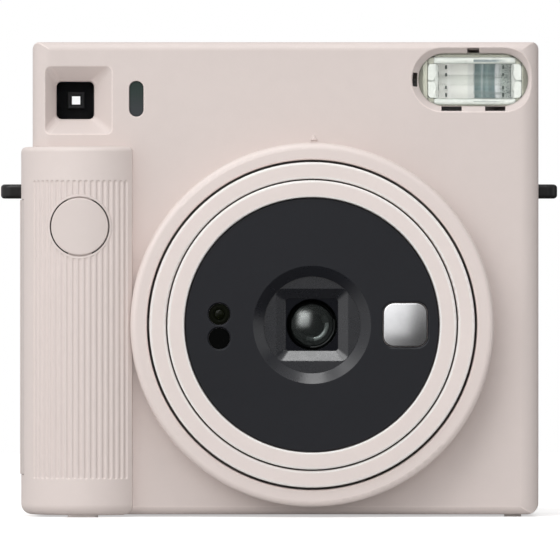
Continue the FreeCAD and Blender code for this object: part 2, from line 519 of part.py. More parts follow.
# ---------------------------------------------------------------- lens barrel (slides)
SX_OFF, S_UP, S_DN, S_R = -23.24, 2.67, -3.40, 2.65
MX_OFF = 23.4
br = cyl_y(LX, LZ, BARREL_R, BARREL_Y, BARREL_BACK)
br = fillet_where(br, 0.45, lambda e: at_y(e, BARREL_Y))
br = br.cut(cyl_y(LX, LZ, BARREL_R - BARREL_WALL, -25.4, BARREL_BACK + 1))
br = br.cut(cyl_y(LX, LZ, PLATE_POCKET, -40, -26.8))
br = br.cut(cyl_y(LX, LZ, 15.6, -40, -20))
br = fillet_where(br, 0.3, lambda e: at_y(e, BARREL_Y) and abs(e.BoundBox.XMax - (LX + PLATE_POCKET)) < 0.05)
br = fuse(br, ring_y(LX, LZ, 17.2, 15.6, -25.6, -20.6))
for k in range(3):
    a = math.radians(90 + 120 * k)
    pin = Part.makeCylinder(0.9, 2.6, V(LX + 35.6 * math.cos(a), -13.6, LZ + 35.6 * math.sin(a)),
                            V(math.cos(a), 0, math.sin(a)))
    br = fuse(br, pin)
put("lens_barrel", br)

fp = cyl_y(LX, LZ, PLATE_R, -28.15, -26.8)
fp = fp.makeChamfer(0.3, [e for e in fp.Edges if at_y(e, -28.15)])
fp = fuse(fp, cyl_y(LX, LZ, 15.5, -27.0, -25.2))
fp = fp.cut(cone_y(LX, LZ, 14.8, 12.15, -28.15, -26.2))
fp = fp.cut(cyl_y(LX, LZ, 12.15, -27, -20))
fp = fp.cut(cyl_y(LX, LZ, 13.2, -25.9, -20))
for dz in (S_UP, S_DN):
    fp = cut(fp, cone_y(LX + SX_OFF, LZ + dz, 3.0, 2.72, -28.15, -27.85), cyl_y(LX + SX_OFF, LZ + dz, 2.72, -40, -20))
fp = fp.cut(prism_y(LX + MX_OFF - 5.65, LX + MX_OFF + 5.65, LZ - 5.6, LZ + 5.6, 2.8, -40, -20))
fp = fp.cut(funnel_y((LX + MX_OFF - 6.05, LX + MX_OFF + 6.05, LZ - 6.0, LZ + 6.0, 3.2, -28.16),
                     (LX + MX_OFF - 5.6, LX + MX_OFF + 5.6, LZ - 5.55, LZ + 5.55, 2.75, -27.7)))
put("face_plate", fp)

mir = prism_y(LX + MX_OFF - 5.45, LX + MX_OFF + 5.45, LZ - 5.4, LZ + 5.4, 2.6, -29.5, -26.8)
mir = mir.common(Part.makeSphere(45.0, V(LX + MX_OFF, -28.4 + 45.0, LZ)))
mir = fillet_where(mir, 0.25, lambda e: e.BoundBox.YMax < -27.2 and e.Length > 0.5 and e.BoundBox.YLength < 1.0)
put("selfie_mirror", mir)

mlens = cyl_y(LX + SX_OFF, LZ + S_UP, S_R, -27.35, -26.8)
mlens = fuse(mlens, ring_y(LX + SX_OFF, LZ + S_UP, 2.05, 1.75, -27.85, -27.2),
             cyl_y(LX + SX_OFF, LZ + S_UP, 1.4, -28.0, -27.2).common(
                 Part.makeSphere(1.9, V(LX + SX_OFF, -27.95 + 1.9, LZ + S_UP))))
put("light_sensor_lens", mlens)
put("light_receiver_window", cyl_y(LX + SX_OFF, LZ + S_DN, S_R, -27.75, -26.8))

hood = cyl_y(LX, LZ, 13.1, -25.9, -21.6)
hood = hood.cut(funnel_y((LX - 9.07, LX + 9.07, LZ - 9.07, LZ + 9.07, 1.7, -25.9),
                         (LX - 6.5, LX + 6.5, LZ - 6.5, LZ + 6.5, 0.8, -24.4)))
hood = hood.cut(prism_y(LX - 9.07, LX + 9.07, LZ - 9.07, LZ + 9.07, 1.7, -30, -25.88))
hood = hood.cut(cyl_y(LX, LZ, 6.45, -30, -20))
hood = hood.cut(box(LX - 7.2, LX - 6.4, -30, -24.66, LZ - 6.5, LZ + 6.5))
put("lens_hood", hood)

fl = cyl_y(LX, LZ, 6.4, -25.5, -21.6).common(Part.makeSphere(11.5, V(LX, -24.3 + 11.5, LZ)))
put("front_lens", fl)

# shutter housing behind the hood, with the blades and the rear lens
sh = cyl_y(LX, LZ, 15.4, -21.6, -11.3)
sh = sh.cut(cyl_y(LX, LZ, 14.2, -20.4, -12.7))
sh = cut(sh, cone_y(LX, LZ, 5.2, 3.3, -21.6, -20.4), cyl_y(LX, LZ, 5.1, -14, 0))
sh = fuse(sh, cyl_y(LX - 8.5, LZ - 8.0, 0.8, -20.6, -15.6), cyl_y(LX + 8.5, LZ - 8.0, 0.8, -20.6, -15.6))
put("shutter_housing", sh)
for (nm, sgn, y0) in (("shutter_blade_left", -1, -18.9), ("shutter_blade_right", 1, -18.3)):
    px, pz = LX + sgn * 8.5, LZ - 8.0
    hx, hz = LX + sgn * 0.6, LZ
    # at rest both round heads cover the aperture; the arms turn outward on their pins
    ln = math.hypot(hx - px, hz - pz)
    ux, uz = (hx - px) / ln, (hz - pz) / ln
    arm = [V(px - uz * 1.7, y0, pz + ux * 1.7), V(hx - uz * 2.6, y0, hz + ux * 2.6),
           V(hx + uz * 2.6, y0, hz - ux * 2.6), V(px + uz * 1.7, y0, pz - ux * 1.7)]
    arm.append(arm[0])
    b = fuse(Part.Face(Part.makePolygon(arm)).extrude(V(0, 0.3, 0)), cyl_y(px, pz, 1.8, y0, y0 + 0.3),
             cyl_y(hx, hz, 4.2, y0, y0 + 0.3))
    put(nm, b.cut(cyl_y(px, pz, 0.86, y0 - 1, y0 + 1)))
rl = cyl_y(LX, LZ, 5.1, -12.7, -11.4)
put("rear_lens", rl)

# ---------------------------------------------------------------- viewfinder
vt = box(VF_X - 6.6, VF_X + 6.6, -12.4, 24.5, VF_Z - 6.6, VF_Z + 6.6).cut(
    box(VF_X - 5.4, VF_X + 5.4, -20, 30, VF_Z - 5.4, VF_Z + 5.4))
vt = fuse(vt, box(VF_X - 5.5, VF_X + 5.5, -9.4, -8.6, VF_Z - 5.5, VF_Z + 5.5).cut(
    box(VF_X - 1.15, VF_X + 1.15, -20, 0, VF_Z - 1.15, VF_Z + 1.15)))
vt = fuse(vt, box(VF_X - 2.1, VF_X + 2.1, -9.9, -9.3, VF_Z - 2.1, VF_Z + 2.1).cut(
    box(VF_X - 1.5, VF_X + 1.5, -20, 0, VF_Z - 1.5, VF_Z + 1.5)))
put("viewfinder_tunnel", vt)
put("viewfinder_front_lens", box(-56.9, -45.8, -14.1, -12.5, 99.3, 110.4))
put("viewfinder_eyepiece", prism_y(VF_X - 5.3, VF_X + 5.3, VF_Z - 5.3, VF_Z + 5.3, 1.5, 26.95, 27.9))
put("metering_window", prism_y(-37.62, -34.18, 100.8, 109.6, 1.7, -18.15, -16.7))

# ---------------------------------------------------------------- flash unit
fw = prism_y(FL_X - 13.7, FL_X + 13.7, FL_Z - 6.5, FL_Z + 6.5, 6.4, -17.3, -16.0)
fw = fillet_where(fw, 0.5, lambda e: at_y(e, -17.3))
fw = fuse(fw, prism_y(FL_X - 14.3, FL_X + 14.3, FL_Z - 6.9, FL_Z + 6.9, 6.8, -16.0, -15.82))
put("flash_window", fw)
# reflector: trough with a curved section, closed by sloped end cheeks
def trough(h, d, x0, x1, y_front):
    p0, p1, p2 = V(x0, y_front, FL_Z - h), V(x0, y_front + d, FL_Z), V(x0, y_front, FL_Z + h)
    arc = Part.Arc(p0, p1, p2).toShape()
    return Part.Face(Part.Wire([arc, Part.LineSegment(p2, p0).toShape()])).extrude(V(x1 - x0, 0, 0))


RF = -15.6
rf = trough(6.15, 6.0, FL_X - 11.8, FL_X + 11.8, RF)
rf = rf.cut(trough(5.6, 5.45, FL_X - 11.2, FL_X + 11.2, RF))
rf = rf.cut(cyl_x(RF + 3.1, FL_Z, 1.55, FL_X - 20, FL_X + 20))
rf = rf.common(prism_y(FL_X - 14.1, FL_X + 14.1, FL_Z - 6.6, FL_Z + 6.6, 6.5, -20, 0))
put("flash_reflector", rf)
put("flash_tube", fuse(cyl_x(RF + 3.1, FL_Z, 1.4, FL_X - 12.4, FL_X + 12.4),
                       cyl_x(RF + 3.1, FL_Z, 0.5, FL_X - 13.6, FL_X + 13.6)))
fh = box(FL_X - 14.2, FL_X + 14.2, -16.0 + 0.2, -7.6, FL_Z - 6.75, FL_Z + 6.75)
fh = fh.common(prism_y(FL_X - 14.2, FL_X + 14.2, FL_Z - 6.75, FL_Z + 6.75, 6.5, -30, 0))
fh = fh.cut(box(FL_X - 12.6, FL_X + 12.6, -17, -9.0, FL_Z - 6.2, FL_Z + 6.2))
fh = fh.cut(cyl_x(RF + 3.1, FL_Z, 0.55, FL_X - 13.7, FL_X + 13.7))
put("flash_housing", fh)
cap = cyl_z(57.2, -8.6, 5.0, 58.0, 92.0)
cap = fillet_where(cap, 0.8, lambda e: at_z(e, 92.0) or at_z(e, 58.0))
put("flash_capacitor", fuse(cap, cyl_z(55.4, -8.6, 0.4, 55.0, 58.2), cyl_z(59.0, -8.6, 0.4, 55.0, 58.2)))

# ---------------------------------------------------------------- circuit board with its components
pcb = box(51.2, 62.4, -1.2, 0.4, 14.0, 88.0)
for (px0, px1, pz0, pz1, h) in ((53, 60, 20, 27, 1.2), (52.5, 56.5, 33, 38, 0.9), (58, 61.5, 32, 40, 1.6),
                                (53, 61, 45, 50, 1.0), (52.5, 55, 62, 66, 1.4), (57, 61, 74, 82, 1.2)):
    pcb = fuse(pcb, box(px0, px1, 0.3, 0.4 + h, pz0, pz1))
pcb = fuse(pcb, cyl_y(56.0, 10.0 + 6.6, 1.8, -4.0, -1.0))
put("main_circuit_board", pcb)

# ---------------------------------------------------------------- print transport
SP = 1.5
for (nm, ry, ph, fy) in (("drive_roller", ROLL_Y[0], 0.0, 0), ("pinch_roller", ROLL_Y[1], math.pi / Z_ROLL, 0)):
    r = fuse(cyl_x(ry, ROLL_Z, ROLL_R, -30.4, 46.9), cyl_x(ry, ROLL_Z, SP, -36.4, 50.2))
    g = gear_x(Z_ROLL, MODULE, ry, ROLL_Z, GEAR_X0, GEAR_X1, 0, ph)
    put(nm, fuse(r, g))


def mesh_phase(teeth_a, phase_a, ang_ab, teeth_b):
    """Phase of gear b so that a gap faces the tooth pattern of gear a along the line of centres."""
    sa = 2 * math.pi / teeth_a
    sb = 2 * math.pi / teeth_b
    off = ((ang_ab - phase_a) / sa) % 1.0
    # a tooth of a sits off*sa before the line; b needs a matching gap on its side
    return ang_ab + math.pi + (off + 0.5) * sb


ang_ri = math.atan2(IDLER_Z - ROLL_Z, IDLER_Y - ROLL_Y[0])
ph_idler = mesh_phase(Z_ROLL, 0.0, ang_ri, Z_IDLER)
idl = gear_x(Z_IDLER, MODULE, IDLER_Y, IDLER_Z, GEAR_X0, GEAR_X1, 1.05, ph_idler)
idl = cut(idl, *[cyl_x(IDLER_Y + 3.9 * math.cos(math.radians(a)), IDLER_Z + 3.9 * math.sin(math.radians(a)), 1.1, -40, -30)
                 for a in range(0, 360, 60)])
put("idler_gear", idl)
ang_ip = math.atan2(PINION_Z - IDLER_Z, PINION_Y - IDLER_Y)
ph_pin = mesh_phase(Z_IDLER, ph_idler, ang_ip, Z_PINION)
pin_g = gear_x(Z_PINION, MODULE, PINION_Y, PINION_Z, GEAR_X0, GEAR_X1, 0, ph_pin)
put("motor_pinion", fuse(pin_g, cyl_x(PINION_Y, PINION_Z, 0.9, -44.0, GEAR_X1)))
mot = cyl_x(PINION_Y, PINION_Z, 6.9, -58.4, -38.0)
mot = fillet_where(mot, 0.6, lambda e: e.BoundBox.XLength < 1e-3)
mot = fuse(mot, cyl_x(PINION_Y, PINION_Z, 2.6, -38.2, -37.0)).cut(cyl_x(PINION_Y, PINION_Z, 0.95, -44.6, -30))
put("motor", mot)

# bracket: two end plates joined by a front bar, resting on the chassis
zb0 = CH_Z1 + 1.7
brk = fuse(box(-32.4, -31.2, -2.0, 15.0, zb0, 110.6), box(47.7, 48.9, -2.0, 15.0, zb0, 110.6),
           box(-32.4, 48.9, -2.0, -0.8, zb0, 110.6), box(-32.4, 48.9, 14.6, 15.8, zb0, 106.0))
for ry in ROLL_Y:
    brk = brk.cut(cyl_x(ry, ROLL_Z, SP + 0.06, -50, 60))
brk = fuse(brk, box(-32.4, -31.2, -8.0, -0.9, 99.0, 104.0))
brk = brk.cut(cyl_x(IDLER_Y, IDLER_Z, 1.0, -40, -30))
put("roller_bracket", brk)
put("idler_axle", fuse(cyl_x(IDLER_Y, IDLER_Z, 1.0, -37.0, -31.2), cyl_x(IDLER_Y, IDLER_Z, 1.7, -37.5, -36.5)))
spr = []
for (sx0, sx1) in ((-31.1, -30.7), (47.2, 47.6)):
    spr.append(box(sx0, sx1, ROLL_Y[1] + SP + 0.25, 14.5, 104.4, 107.6))
put("roller_springs", Part.makeCompound(spr))

# ---------------------------------------------------------------- film counter dial
dl = ring_y(DIAL_X, DIAL_Z, 6.6, 1.06, 23.2, 24.2)
for i in range(12):
    a = math.radians(30 * i)
    dl = dl.cut(cyl_y(DIAL_X + 6.6 * math.cos(a), DIAL_Z + 6.6 * math.sin(a), 0.5, 20, 30))
put("film_counter_dial", dl)
put("counter_window", prism_y(DIAL_X - 3.1, DIAL_X + 3.1, DIAL_Z + 1.4, DIAL_Z + 6.8, 1.1, 27.8, 28.5))

# ---------------------------------------------------------------- strap lugs, feet
def lug(sgn, wall_x):
    """Flat loop with a round eye, its eye running up and down."""
    x_eye = wall_x + sgn * 2.3
    yc = LUG_Y
    body = fuse(cyl_z(x_eye, yc, 2.7, LUG_Z - LUG_T / 2, LUG_Z + LUG_T / 2),
                box(min(wall_x - sgn * 2.5, x_eye), max(wall_x - sgn * 2.5, x_eye), yc - 2.7, yc + 2.7,
                    LUG_Z - LUG_T / 2, LUG_Z + LUG_T / 2))
    es = [e for e in body.Edges if (at_z(e, LUG_Z - LUG_T / 2) or at_z(e, LUG_Z + LUG_T / 2)) and
          (e.BoundBox.XMax * sgn > wall_x * sgn + 2.5 if sgn > 0 else e.BoundBox.XMin < wall_x - 2.5) and
          e.BoundBox.XLength > 0.5]
    try:
        body = body.makeFillet(0.9, es)
    except Exception:
        pass
    return body.cut(cyl_z(x_eye, yc, 1.3, 70, 95))


put("strap_lug_left", lug(-1, -BODY_XR))
put("strap_lug_right", lug(1, BODY_XR))
lslot = box(BODY_XR - 3.4, BODY_XR + 1, LUG_Y - 2.7, LUG_Y + 2.7, LUG_Z - LUG_T / 2, LUG_Z + LUG_T / 2)
NODES["front_cover"] = NODES["front_cover"].cut(lslot)
feet = []
for (fx0, fx1) in ((-53.1, -45.5), (56.8, 61.0)):
    feet.append(prism_z(fx0, fx1, -15.5 if fx0 > 0 else -24.0, -11.5 if fx0 > 0 else -19.0, 0.9, 0.0, BODY_Z0))
    feet.append(prism_z(fx0, fx1, 17.5, 22.5, 0.9, 0.0, BODY_Z0))
put("feet", Part.makeCompound(feet))

# ---------------------------------------------------------------- write the parts
os.makedirs("parts", exist_ok=True)
for name, shape in NODES.items():
    sol = shape.Solids
    if not sol:
        raise RuntimeError("no solid in " + name)
    out = sol[0] if len(sol) == 1 else Part.makeCompound(sol)
    if not out.isValid():
        print("INVALID", name)
    out.exportStep("parts/" + name + ".step")
    print(name, len(sol), round(out.Volume, 1))
print(len(NODES), "nodes")
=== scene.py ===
import bpy
import bmesh
import math
import random
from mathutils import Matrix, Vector


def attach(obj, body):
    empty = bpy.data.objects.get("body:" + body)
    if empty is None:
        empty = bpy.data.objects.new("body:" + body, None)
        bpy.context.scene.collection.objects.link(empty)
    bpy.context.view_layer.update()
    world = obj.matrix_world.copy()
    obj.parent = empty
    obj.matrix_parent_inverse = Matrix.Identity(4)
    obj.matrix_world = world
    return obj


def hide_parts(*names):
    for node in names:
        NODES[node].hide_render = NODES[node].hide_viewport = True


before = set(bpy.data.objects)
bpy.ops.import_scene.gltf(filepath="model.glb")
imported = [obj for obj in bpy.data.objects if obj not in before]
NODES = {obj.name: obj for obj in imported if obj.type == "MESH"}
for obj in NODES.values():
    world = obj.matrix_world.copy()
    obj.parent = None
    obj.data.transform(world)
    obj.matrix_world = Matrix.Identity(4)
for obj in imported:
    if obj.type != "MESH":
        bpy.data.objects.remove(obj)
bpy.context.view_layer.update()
SCENE = bpy.context.scene
MM = 0.001


# ------------------------------------------------------------------ small helpers
def new_object(name, verts, faces, smooth=True):
    me = bpy.data.meshes.new(name)
    me.from_pydata([tuple(v) for v in verts], [], faces)
    me.validate()
    me.update()
    ob = bpy.data.objects.new(name, me)
    SCENE.collection.objects.link(ob)
    if smooth:
        for p in me.polygons:
            p.use_smooth = True
    return ob


def fix_normals(ob):
    bm = bmesh.new()
    bm.from_mesh(ob.data)
    bmesh.ops.recalc_face_normals(bm, faces=bm.faces)
    bm.to_mesh(ob.data)
    bm.free()


def bevel_mod(ob, width, segments=3, angle=35):
    m = ob.modifiers.new("edge", "BEVEL")
    m.width = width
    m.segments = segments
    m.limit_method = "ANGLE"
    m.angle_limit = math.radians(angle)
    m.harden_normals = False
    return m


def put(ob, body, mat):
    ob.data.materials.clear()
    ob.data.materials.append(mat)
    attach(ob, body)
    return ob


def outline_round(x0, x1, z0, z1, r, seg=8):
    """Rounded rectangle outline in the XZ plane, anticlockwise, in metres."""
    pts = []
    for cx, cz, a0 in ((x1 - r, z1 - r, 0), (x0 + r, z1 - r, 90), (x0 + r, z0 + r, 180), (x1 - r, z0 + r, 270)):
        for k in range(seg + 1):
            a = math.radians(a0 + 90.0 * k / seg)
            pts.append((cx + r * math.cos(a), cz + r * math.sin(a)))
    return pts


def loft(name, loops, cap_first=False, cap_last=False, closed=True, smooth=True):
    """Skin through loops of (x, y, z) points that all have the same count."""
    n = len(loops[0])
    verts = [p for lp in loops for p in lp]
    faces = []
    for i in range(len(loops) - 1):
        for k in range(n if closed else n - 1):
            a, b = i * n + k, i * n + (k + 1) % n
            faces.append((a, b, b + n, a + n))
    if cap_first:
        faces.append(tuple(range(n - 1, -1, -1)))
    if cap_last:
        o = (len(loops) - 1) * n
        faces.append(tuple(o + k for k in range(n)))
    ob = new_object(name, verts, faces, smooth)
    fix_normals(ob)
    return ob


def ring_loops(cx, cz, profile, seg=96):
    """profile: list of (radius, y); one loop per point round the axis through (cx, cz)."""
    return [[(cx + r * math.cos(2 * math.pi * k / seg), y, cz + r * math.sin(2 * math.pi * k / seg))
             for k in range(seg)] for r, y in profile]


def turned(name, cx, cz, profile, seg=96, closed_profile=False):
    prof = list(profile) + ([profile[0]] if closed_profile else [])
    ob = loft(name, ring_loops(cx, cz, prof, seg))
    if closed_profile:
        bm = bmesh.new()
        bm.from_mesh(ob.data)
        bmesh.ops.remove_doubles(bm, verts=bm.verts, dist=1e-8)
        bmesh.ops.recalc_face_normals(bm, faces=bm.faces)
        bm.to_mesh(ob.data)
        bm.free()
    return ob


def block(name, x0, x1, y0, y1, z0, z1):
    v = [(x, y, z) for x in (x0, x1) for y in (y0, y1) for z in (z0, z1)]
    f = [(0, 1, 3, 2), (4, 6, 7, 5), (0, 4, 5, 1), (2, 3, 7, 6), (0, 2, 6, 4), (1, 5, 7, 3)]
    ob = new_object(name, v, f, False)
    fix_normals(ob)
    return ob


def join(name, obs):
    """Joins meshes (already in place, no parents) into one new object and removes the originals."""
    bm = bmesh.new()
    for o in obs:
        bm.from_mesh(o.data)
    me = bpy.data.meshes.new(name)
    bm.to_mesh(me)
    bm.free()
    for o in obs:
        bpy.data.objects.remove(o)
    ob = bpy.data.objects.new(name, me)
    SCENE.collection.objects.link(ob)
    return ob


# ------------------------------------------------------------------ material building
class Tree:
    def __init__(self, name):
        self.mat = bpy.data.materials.new(name)
        self.mat.use_nodes = True
        self.nt = self.mat.node_tree
        self.nt.nodes.clear()
        self.out = self.nt.nodes.new("ShaderNodeOutputMaterial")
        self.co = None

    def add(self, kind, **kw):
        n = self.nt.nodes.new(kind)
        for k, v in kw.items():
            setattr(n, k, v)
        return n

    def link(self, a, b):
        self.nt.links.new(a, b)

    def coords(self):
        if self.co is None:
            self.co = self.add("ShaderNodeTexCoord").outputs["Object"]
        return self.co

    def mapped(self, scale=(1, 1, 1), loc=(0, 0, 0), rot=(0, 0, 0)):
        m = self.add("ShaderNodeMapping")
        m.inputs["Scale"].default_value = scale
        m.inputs["Location"].default_value = loc
        m.inputs["Rotation"].default_value = rot
        self.link(self.coords(), m.inputs["Vector"])
        return m.outputs["Vector"]

    def noise(self, scale, detail=3.0, rough=0.55, vec=None, dist=0.0):
        n = self.add("ShaderNodeTexNoise")
        n.inputs["Scale"].default_value = scale
        n.inputs["Detail"].default_value = detail
        n.inputs["Roughness"].default_value = rough
        n.inputs["Distortion"].default_value = dist
        self.link(vec if vec is not None else self.coords(), n.inputs["Vector"])
        return n.outputs["Fac"]

    def voronoi(self, scale, feature="F1", vec=None):
        n = self.add("ShaderNodeTexVoronoi", feature=feature)
        n.inputs["Scale"].default_value = scale
        self.link(vec if vec is not None else self.coords(), n.inputs["Vector"])
        return n.outputs["Distance"]

    def remap(self, v, a, b, c, d, smooth=False):
        n = self.add("ShaderNodeMapRange")
        n.clamp = True
        if smooth:
            n.interpolation_type = "SMOOTHSTEP"
        n.inputs["From Min"].default_value = a
        n.inputs["From Max"].default_value = b
        n.inputs["To Min"].default_value = c
        n.inputs["To Max"].default_value = d
        self.link(v, n.inputs["Value"])
        return n.outputs["Result"]

    def math(self, op, a, b=None):
        n = self.add("ShaderNodeMath", operation=op)
        for i, v in enumerate((a, b)):
            if v is None:
                continue
            if isinstance(v, (int, float)):
                n.inputs[i].default_value = v
            else:
                self.link(v, n.inputs[i])
        return n.outputs[0]

    def mix(self, fac, a, b, blend="MIX"):
        n = self.add("ShaderNodeMix", data_type="RGBA", blend_type=blend)
        ins = [s for s in n.inputs if s.enabled or True]
        f, ca, cb = n.inputs[0], n.inputs[6], n.inputs[7]
        for s, v in ((f, fac), (ca, a), (cb, b)):
            if isinstance(v, (int, float)):
                s.default_value = v
            elif isinstance(v, (tuple, list)):
                s.default_value = tuple(v) + ((1.0,) if len(v) == 3 else ())
            else:
                self.link(v, s)
        return n.outputs[2]

    def xyz(self):
        n = self.add("ShaderNodeSeparateXYZ")
        self.link(self.coords(), n.inputs[0])
        return n.outputs

    def bump(self, height, strength, distance, normal=None):
        n = self.add("ShaderNodeBump")
        n.inputs["Strength"].default_value = strength
        n.inputs["Distance"].default_value = distance
        self.link(height, n.inputs["Height"])
        if normal is not None:
            self.link(normal, n.inputs["Normal"])
        return n.outputs["Normal"]

    def edges(self, radius, lo=0.995, hi=0.86):
        """0 on faces to 1 on sharp edges, and the rounded normal."""
        b = self.add("ShaderNodeBevel", samples=4)
        b.inputs["Radius"].default_value = radius
        g = self.add("ShaderNodeNewGeometry")
        d = self.add("ShaderNodeVectorMath", operation="DOT_PRODUCT")
        self.link(b.outputs["Normal"], d.inputs[0])
        self.link(g.outputs["Normal"], d.inputs[1])
        return self.remap(d.outputs["Value"], lo, hi, 0.0, 1.0), b.outputs["Normal"]

    def crevice(self, distance, power=1.0, local=False):
        a = self.add("ShaderNodeAmbientOcclusion", samples=4, only_local=local)
        a.inputs["Distance"].default_value = distance
        return self.math("POWER", a.outputs["AO"], power)

    def principled(self, color=None, metallic=0.0, rough=0.5, ior=1.46, spec=0.5, normal=None, coat=0.0,
                   coat_rough=0.05, aniso=0.0, alpha=None, emission=None, em_strength=0.0, sheen=0.0,
                   transmission=0.0, connect=True):
        p = self.add("ShaderNodeBsdfPrincipled")
        for key, v in (("Base Color", color), ("Metallic", metallic), ("Roughness", rough), ("Alpha", alpha),
                       ("Emission Color", emission), ("Normal", normal)):
            if v is None:
                continue
            s = p.inputs[key]
            if isinstance(v, (int, float)):
                s.default_value = v
            elif isinstance(v, (tuple, list)):
                s.default_value = tuple(v) + ((1.0,) if len(v) == 3 else ())
            else:
                self.link(v, s)
        p.inputs["IOR"].default_value = ior
        p.inputs["Specular IOR Level"].default_value = spec
        p.inputs["Coat Weight"].default_value = coat
        p.inputs["Coat Roughness"].default_value = coat_rough
        p.inputs["Anisotropic"].default_value = aniso
        p.inputs["Sheen Weight"].default_value = sheen
        p.inputs["Transmission Weight"].default_value = transmission
        if em_strength:
            p.inputs["Emission Strength"].default_value = em_strength
        if connect:
            self.link(p.outputs[0], self.out.inputs[0])
        return p


def shade(c, k):
    return tuple(min(1.0, x * k) for x in c)


def moulded(name, base, rough=(0.40, 0.52), grain=0.35, grain_scale=2400, edge=1.05, edge_r=0.00018,
            crevice_shade=0.88, spec=0.5, seed=0.0, spread=0.02, ior=1.46, crevice_d=0.0010, blotch=26.0, edge_soft=True,
            local=False, lip=(0.995, 0.86), painted_light_band=None, wear_highlight_evenness=0.25):
    """Injection-moulded plastic: eroded grain, faint flow marks, lighter edges (wear, plus a painted highlight where
    the edge factor is high), painted shade in the crevices, and an optional painted light band in front of a depth.
    """
    t = Tree(name)
    off = (seed * 0.37, seed * 0.21, seed * 0.11)
    vec = t.mapped(loc=off)
    big = t.noise(blotch, 3.0, 0.5, vec)
    mid = t.noise(blotch * 11, 4.0, 0.6, vec)
    fine = t.noise(grain_scale, 2.0, 0.6, vec)
    cell = t.voronoi(grain_scale * 0.55, "F1", vec)
    col = t.mix(t.remap(big, 0.3, 0.7, 0.0, 1.0), shade(base, 1 - spread), shade(base, 1 + spread))
    col = t.mix(t.remap(mid, 0.35, 0.65, 0.0, 0.35), col, shade(base, 1 - spread * 1.6))
    col = t.mix(t.remap(fine, 0.55, 0.85, 0.0, 0.30), col, shade(base, 1 - spread * 3.0))
    # painted light: the part is made lighter in front of the given depth
    if painted_light_band is not None:
        col = t.mix(t.remap(t.xyz()[1], painted_light_band[0], painted_light_band[1], 1.0, 0.0), col, shade(base, painted_light_band[2]))
    # lighter edges: wear, and where the edge factor is high and the lip range tight, a painted highlight on the rounded
    # lips
    e, bn = t.edges(edge_r, lip[0], lip[1])
    wear_and_highlight = t.math("MULTIPLY", e, t.remap(t.noise(blotch * 7, 4.0, 0.65, vec), 0.35, 0.62, wear_highlight_evenness, 1.0))
    col = t.mix(wear_and_highlight, col, shade(base, edge))
    # painted shade: darker where ambient occlusion finds crevices, broken up by noise
    ao = t.crevice(crevice_d, 1.0, local)
    shaded_crevice = t.math("MULTIPLY", t.remap(ao, 0.15, 0.75, 1.0, 0.0), t.remap(mid, 0.3, 0.6, 0.6, 1.0))
    col = t.mix(shaded_crevice, col, shade(base, crevice_shade * 0.85))
    r = t.remap(mid, 0.3, 0.7, rough[0], rough[1])
    r = t.math("ADD", r, t.math("MULTIPLY", t.remap(fine, 0.4, 0.7, -0.5, 0.5), 0.05))
    r = t.math("SUBTRACT", r, t.math("MULTIPLY", wear_and_highlight, 0.08))
    h = t.math("ADD", t.math("MULTIPLY", fine, 0.7), t.math("MULTIPLY", cell, 0.5))
    h2 = t.bump(h, grain, 0.00002, bn if edge_soft else None)
    h3 = t.bump(big, 0.05, 0.0004, h2)
    t.principled(col, 0.0, r, ior, spec, h3)
    return t.mat


def metal(name, base, rough=(0.22, 0.38), brushed=(1, 1, 40), aniso=0.3, crevice_shade=0.55, seed=0.0, edge_r=0.00012):
    """Machined or pressed metal: drawn lines, handling marks and painted shade in the corners."""
    t = Tree(name)
    vec = t.mapped(scale=brushed, loc=(seed, seed * 0.5, 0))
    lines = t.noise(160, 5.0, 0.7, vec)
    marks = t.noise(70, 3.0, 0.55)
    col = t.mix(t.remap(lines, 0.3, 0.7, 0.0, 1.0), shade(base, 0.86), shade(base, 1.08))
    col = t.mix(t.remap(marks, 0.52, 0.72, 0.0, 0.35), col, shade(base, 0.72))
    e, bn = t.edges(edge_r)
    col = t.mix(t.math("MULTIPLY", e, 0.6), col, shade(base, 1.25))
    # painted shade: darker where ambient occlusion finds corners
    ao = t.crevice(0.0012, 1.0, True)
    col = t.mix(t.remap(ao, 0.2, 0.95, 1.0, 0.0), col, shade(base, crevice_shade))
    r = t.remap(lines, 0.3, 0.7, rough[0], rough[1])
    r = t.math("ADD", r, t.remap(marks, 0.45, 0.75, 0.0, 0.14))
    n = t.bump(lines, 0.12, 0.00002, bn)
    t.principled(col, 1.0, r, 1.46, 0.5, n, aniso=aniso)
    return t.mat


def pane(name, tint, reflect, rough=0.03, ior=1.45, grime=0.05, coating=None, body=None, body_share=0.0, vary=0.05,
         tails=True):
    """See-through moulding or coated element: straight view through, mirror off the surface, faint wipe marks."""
    t = Tree(name)
    smear = t.noise(240, 4.0, 0.65)
    fine = t.noise(1900, 2.0, 0.5)
    fres = t.add("ShaderNodeFresnel")
    fres.inputs["IOR"].default_value = ior
    f = t.math("MULTIPLY", fres.outputs[0], reflect)
    tr = t.add("ShaderNodeBsdfTransparent")
    tc = t.mix(t.remap(smear, 0.5, 0.75, 0.0, grime), tint, shade(tint, 0.72))
    t.link(tc, tr.inputs["Color"])
    gl = t.add("ShaderNodeBsdfGlossy")
    gl.inputs["Color"].default_value = tuple(coating or (1, 1, 1)) + (1.0,)
    if not tails:
        gl.distribution = "BECKMANN"
    rr = t.remap(smear, 0.4, 0.8, rough, rough + vary)
    t.link(rr, gl.inputs["Roughness"])
    base = tr.outputs[0]
    if body is not None:
        df = t.add("ShaderNodeBsdfDiffuse")
        bc = t.mix(t.remap(fine, 0.4, 0.7, 0.0, 1.0), shade(body, 0.92), shade(body, 1.06))
        t.link(bc, df.inputs["Color"])
        mx = t.add("ShaderNodeMixShader")
        mx.inputs[0].default_value = body_share
        t.link(base, mx.inputs[1])
        t.link(df.outputs[0], mx.inputs[2])
        base = mx.outputs[0]
    m2 = t.add("ShaderNodeMixShader")
    t.link(f, m2.inputs[0])
    t.link(base, m2.inputs[1])
    t.link(gl.outputs[0], m2.inputs[2])
    t.link(m2.outputs[0], t.out.inputs[0])
    return t.mat


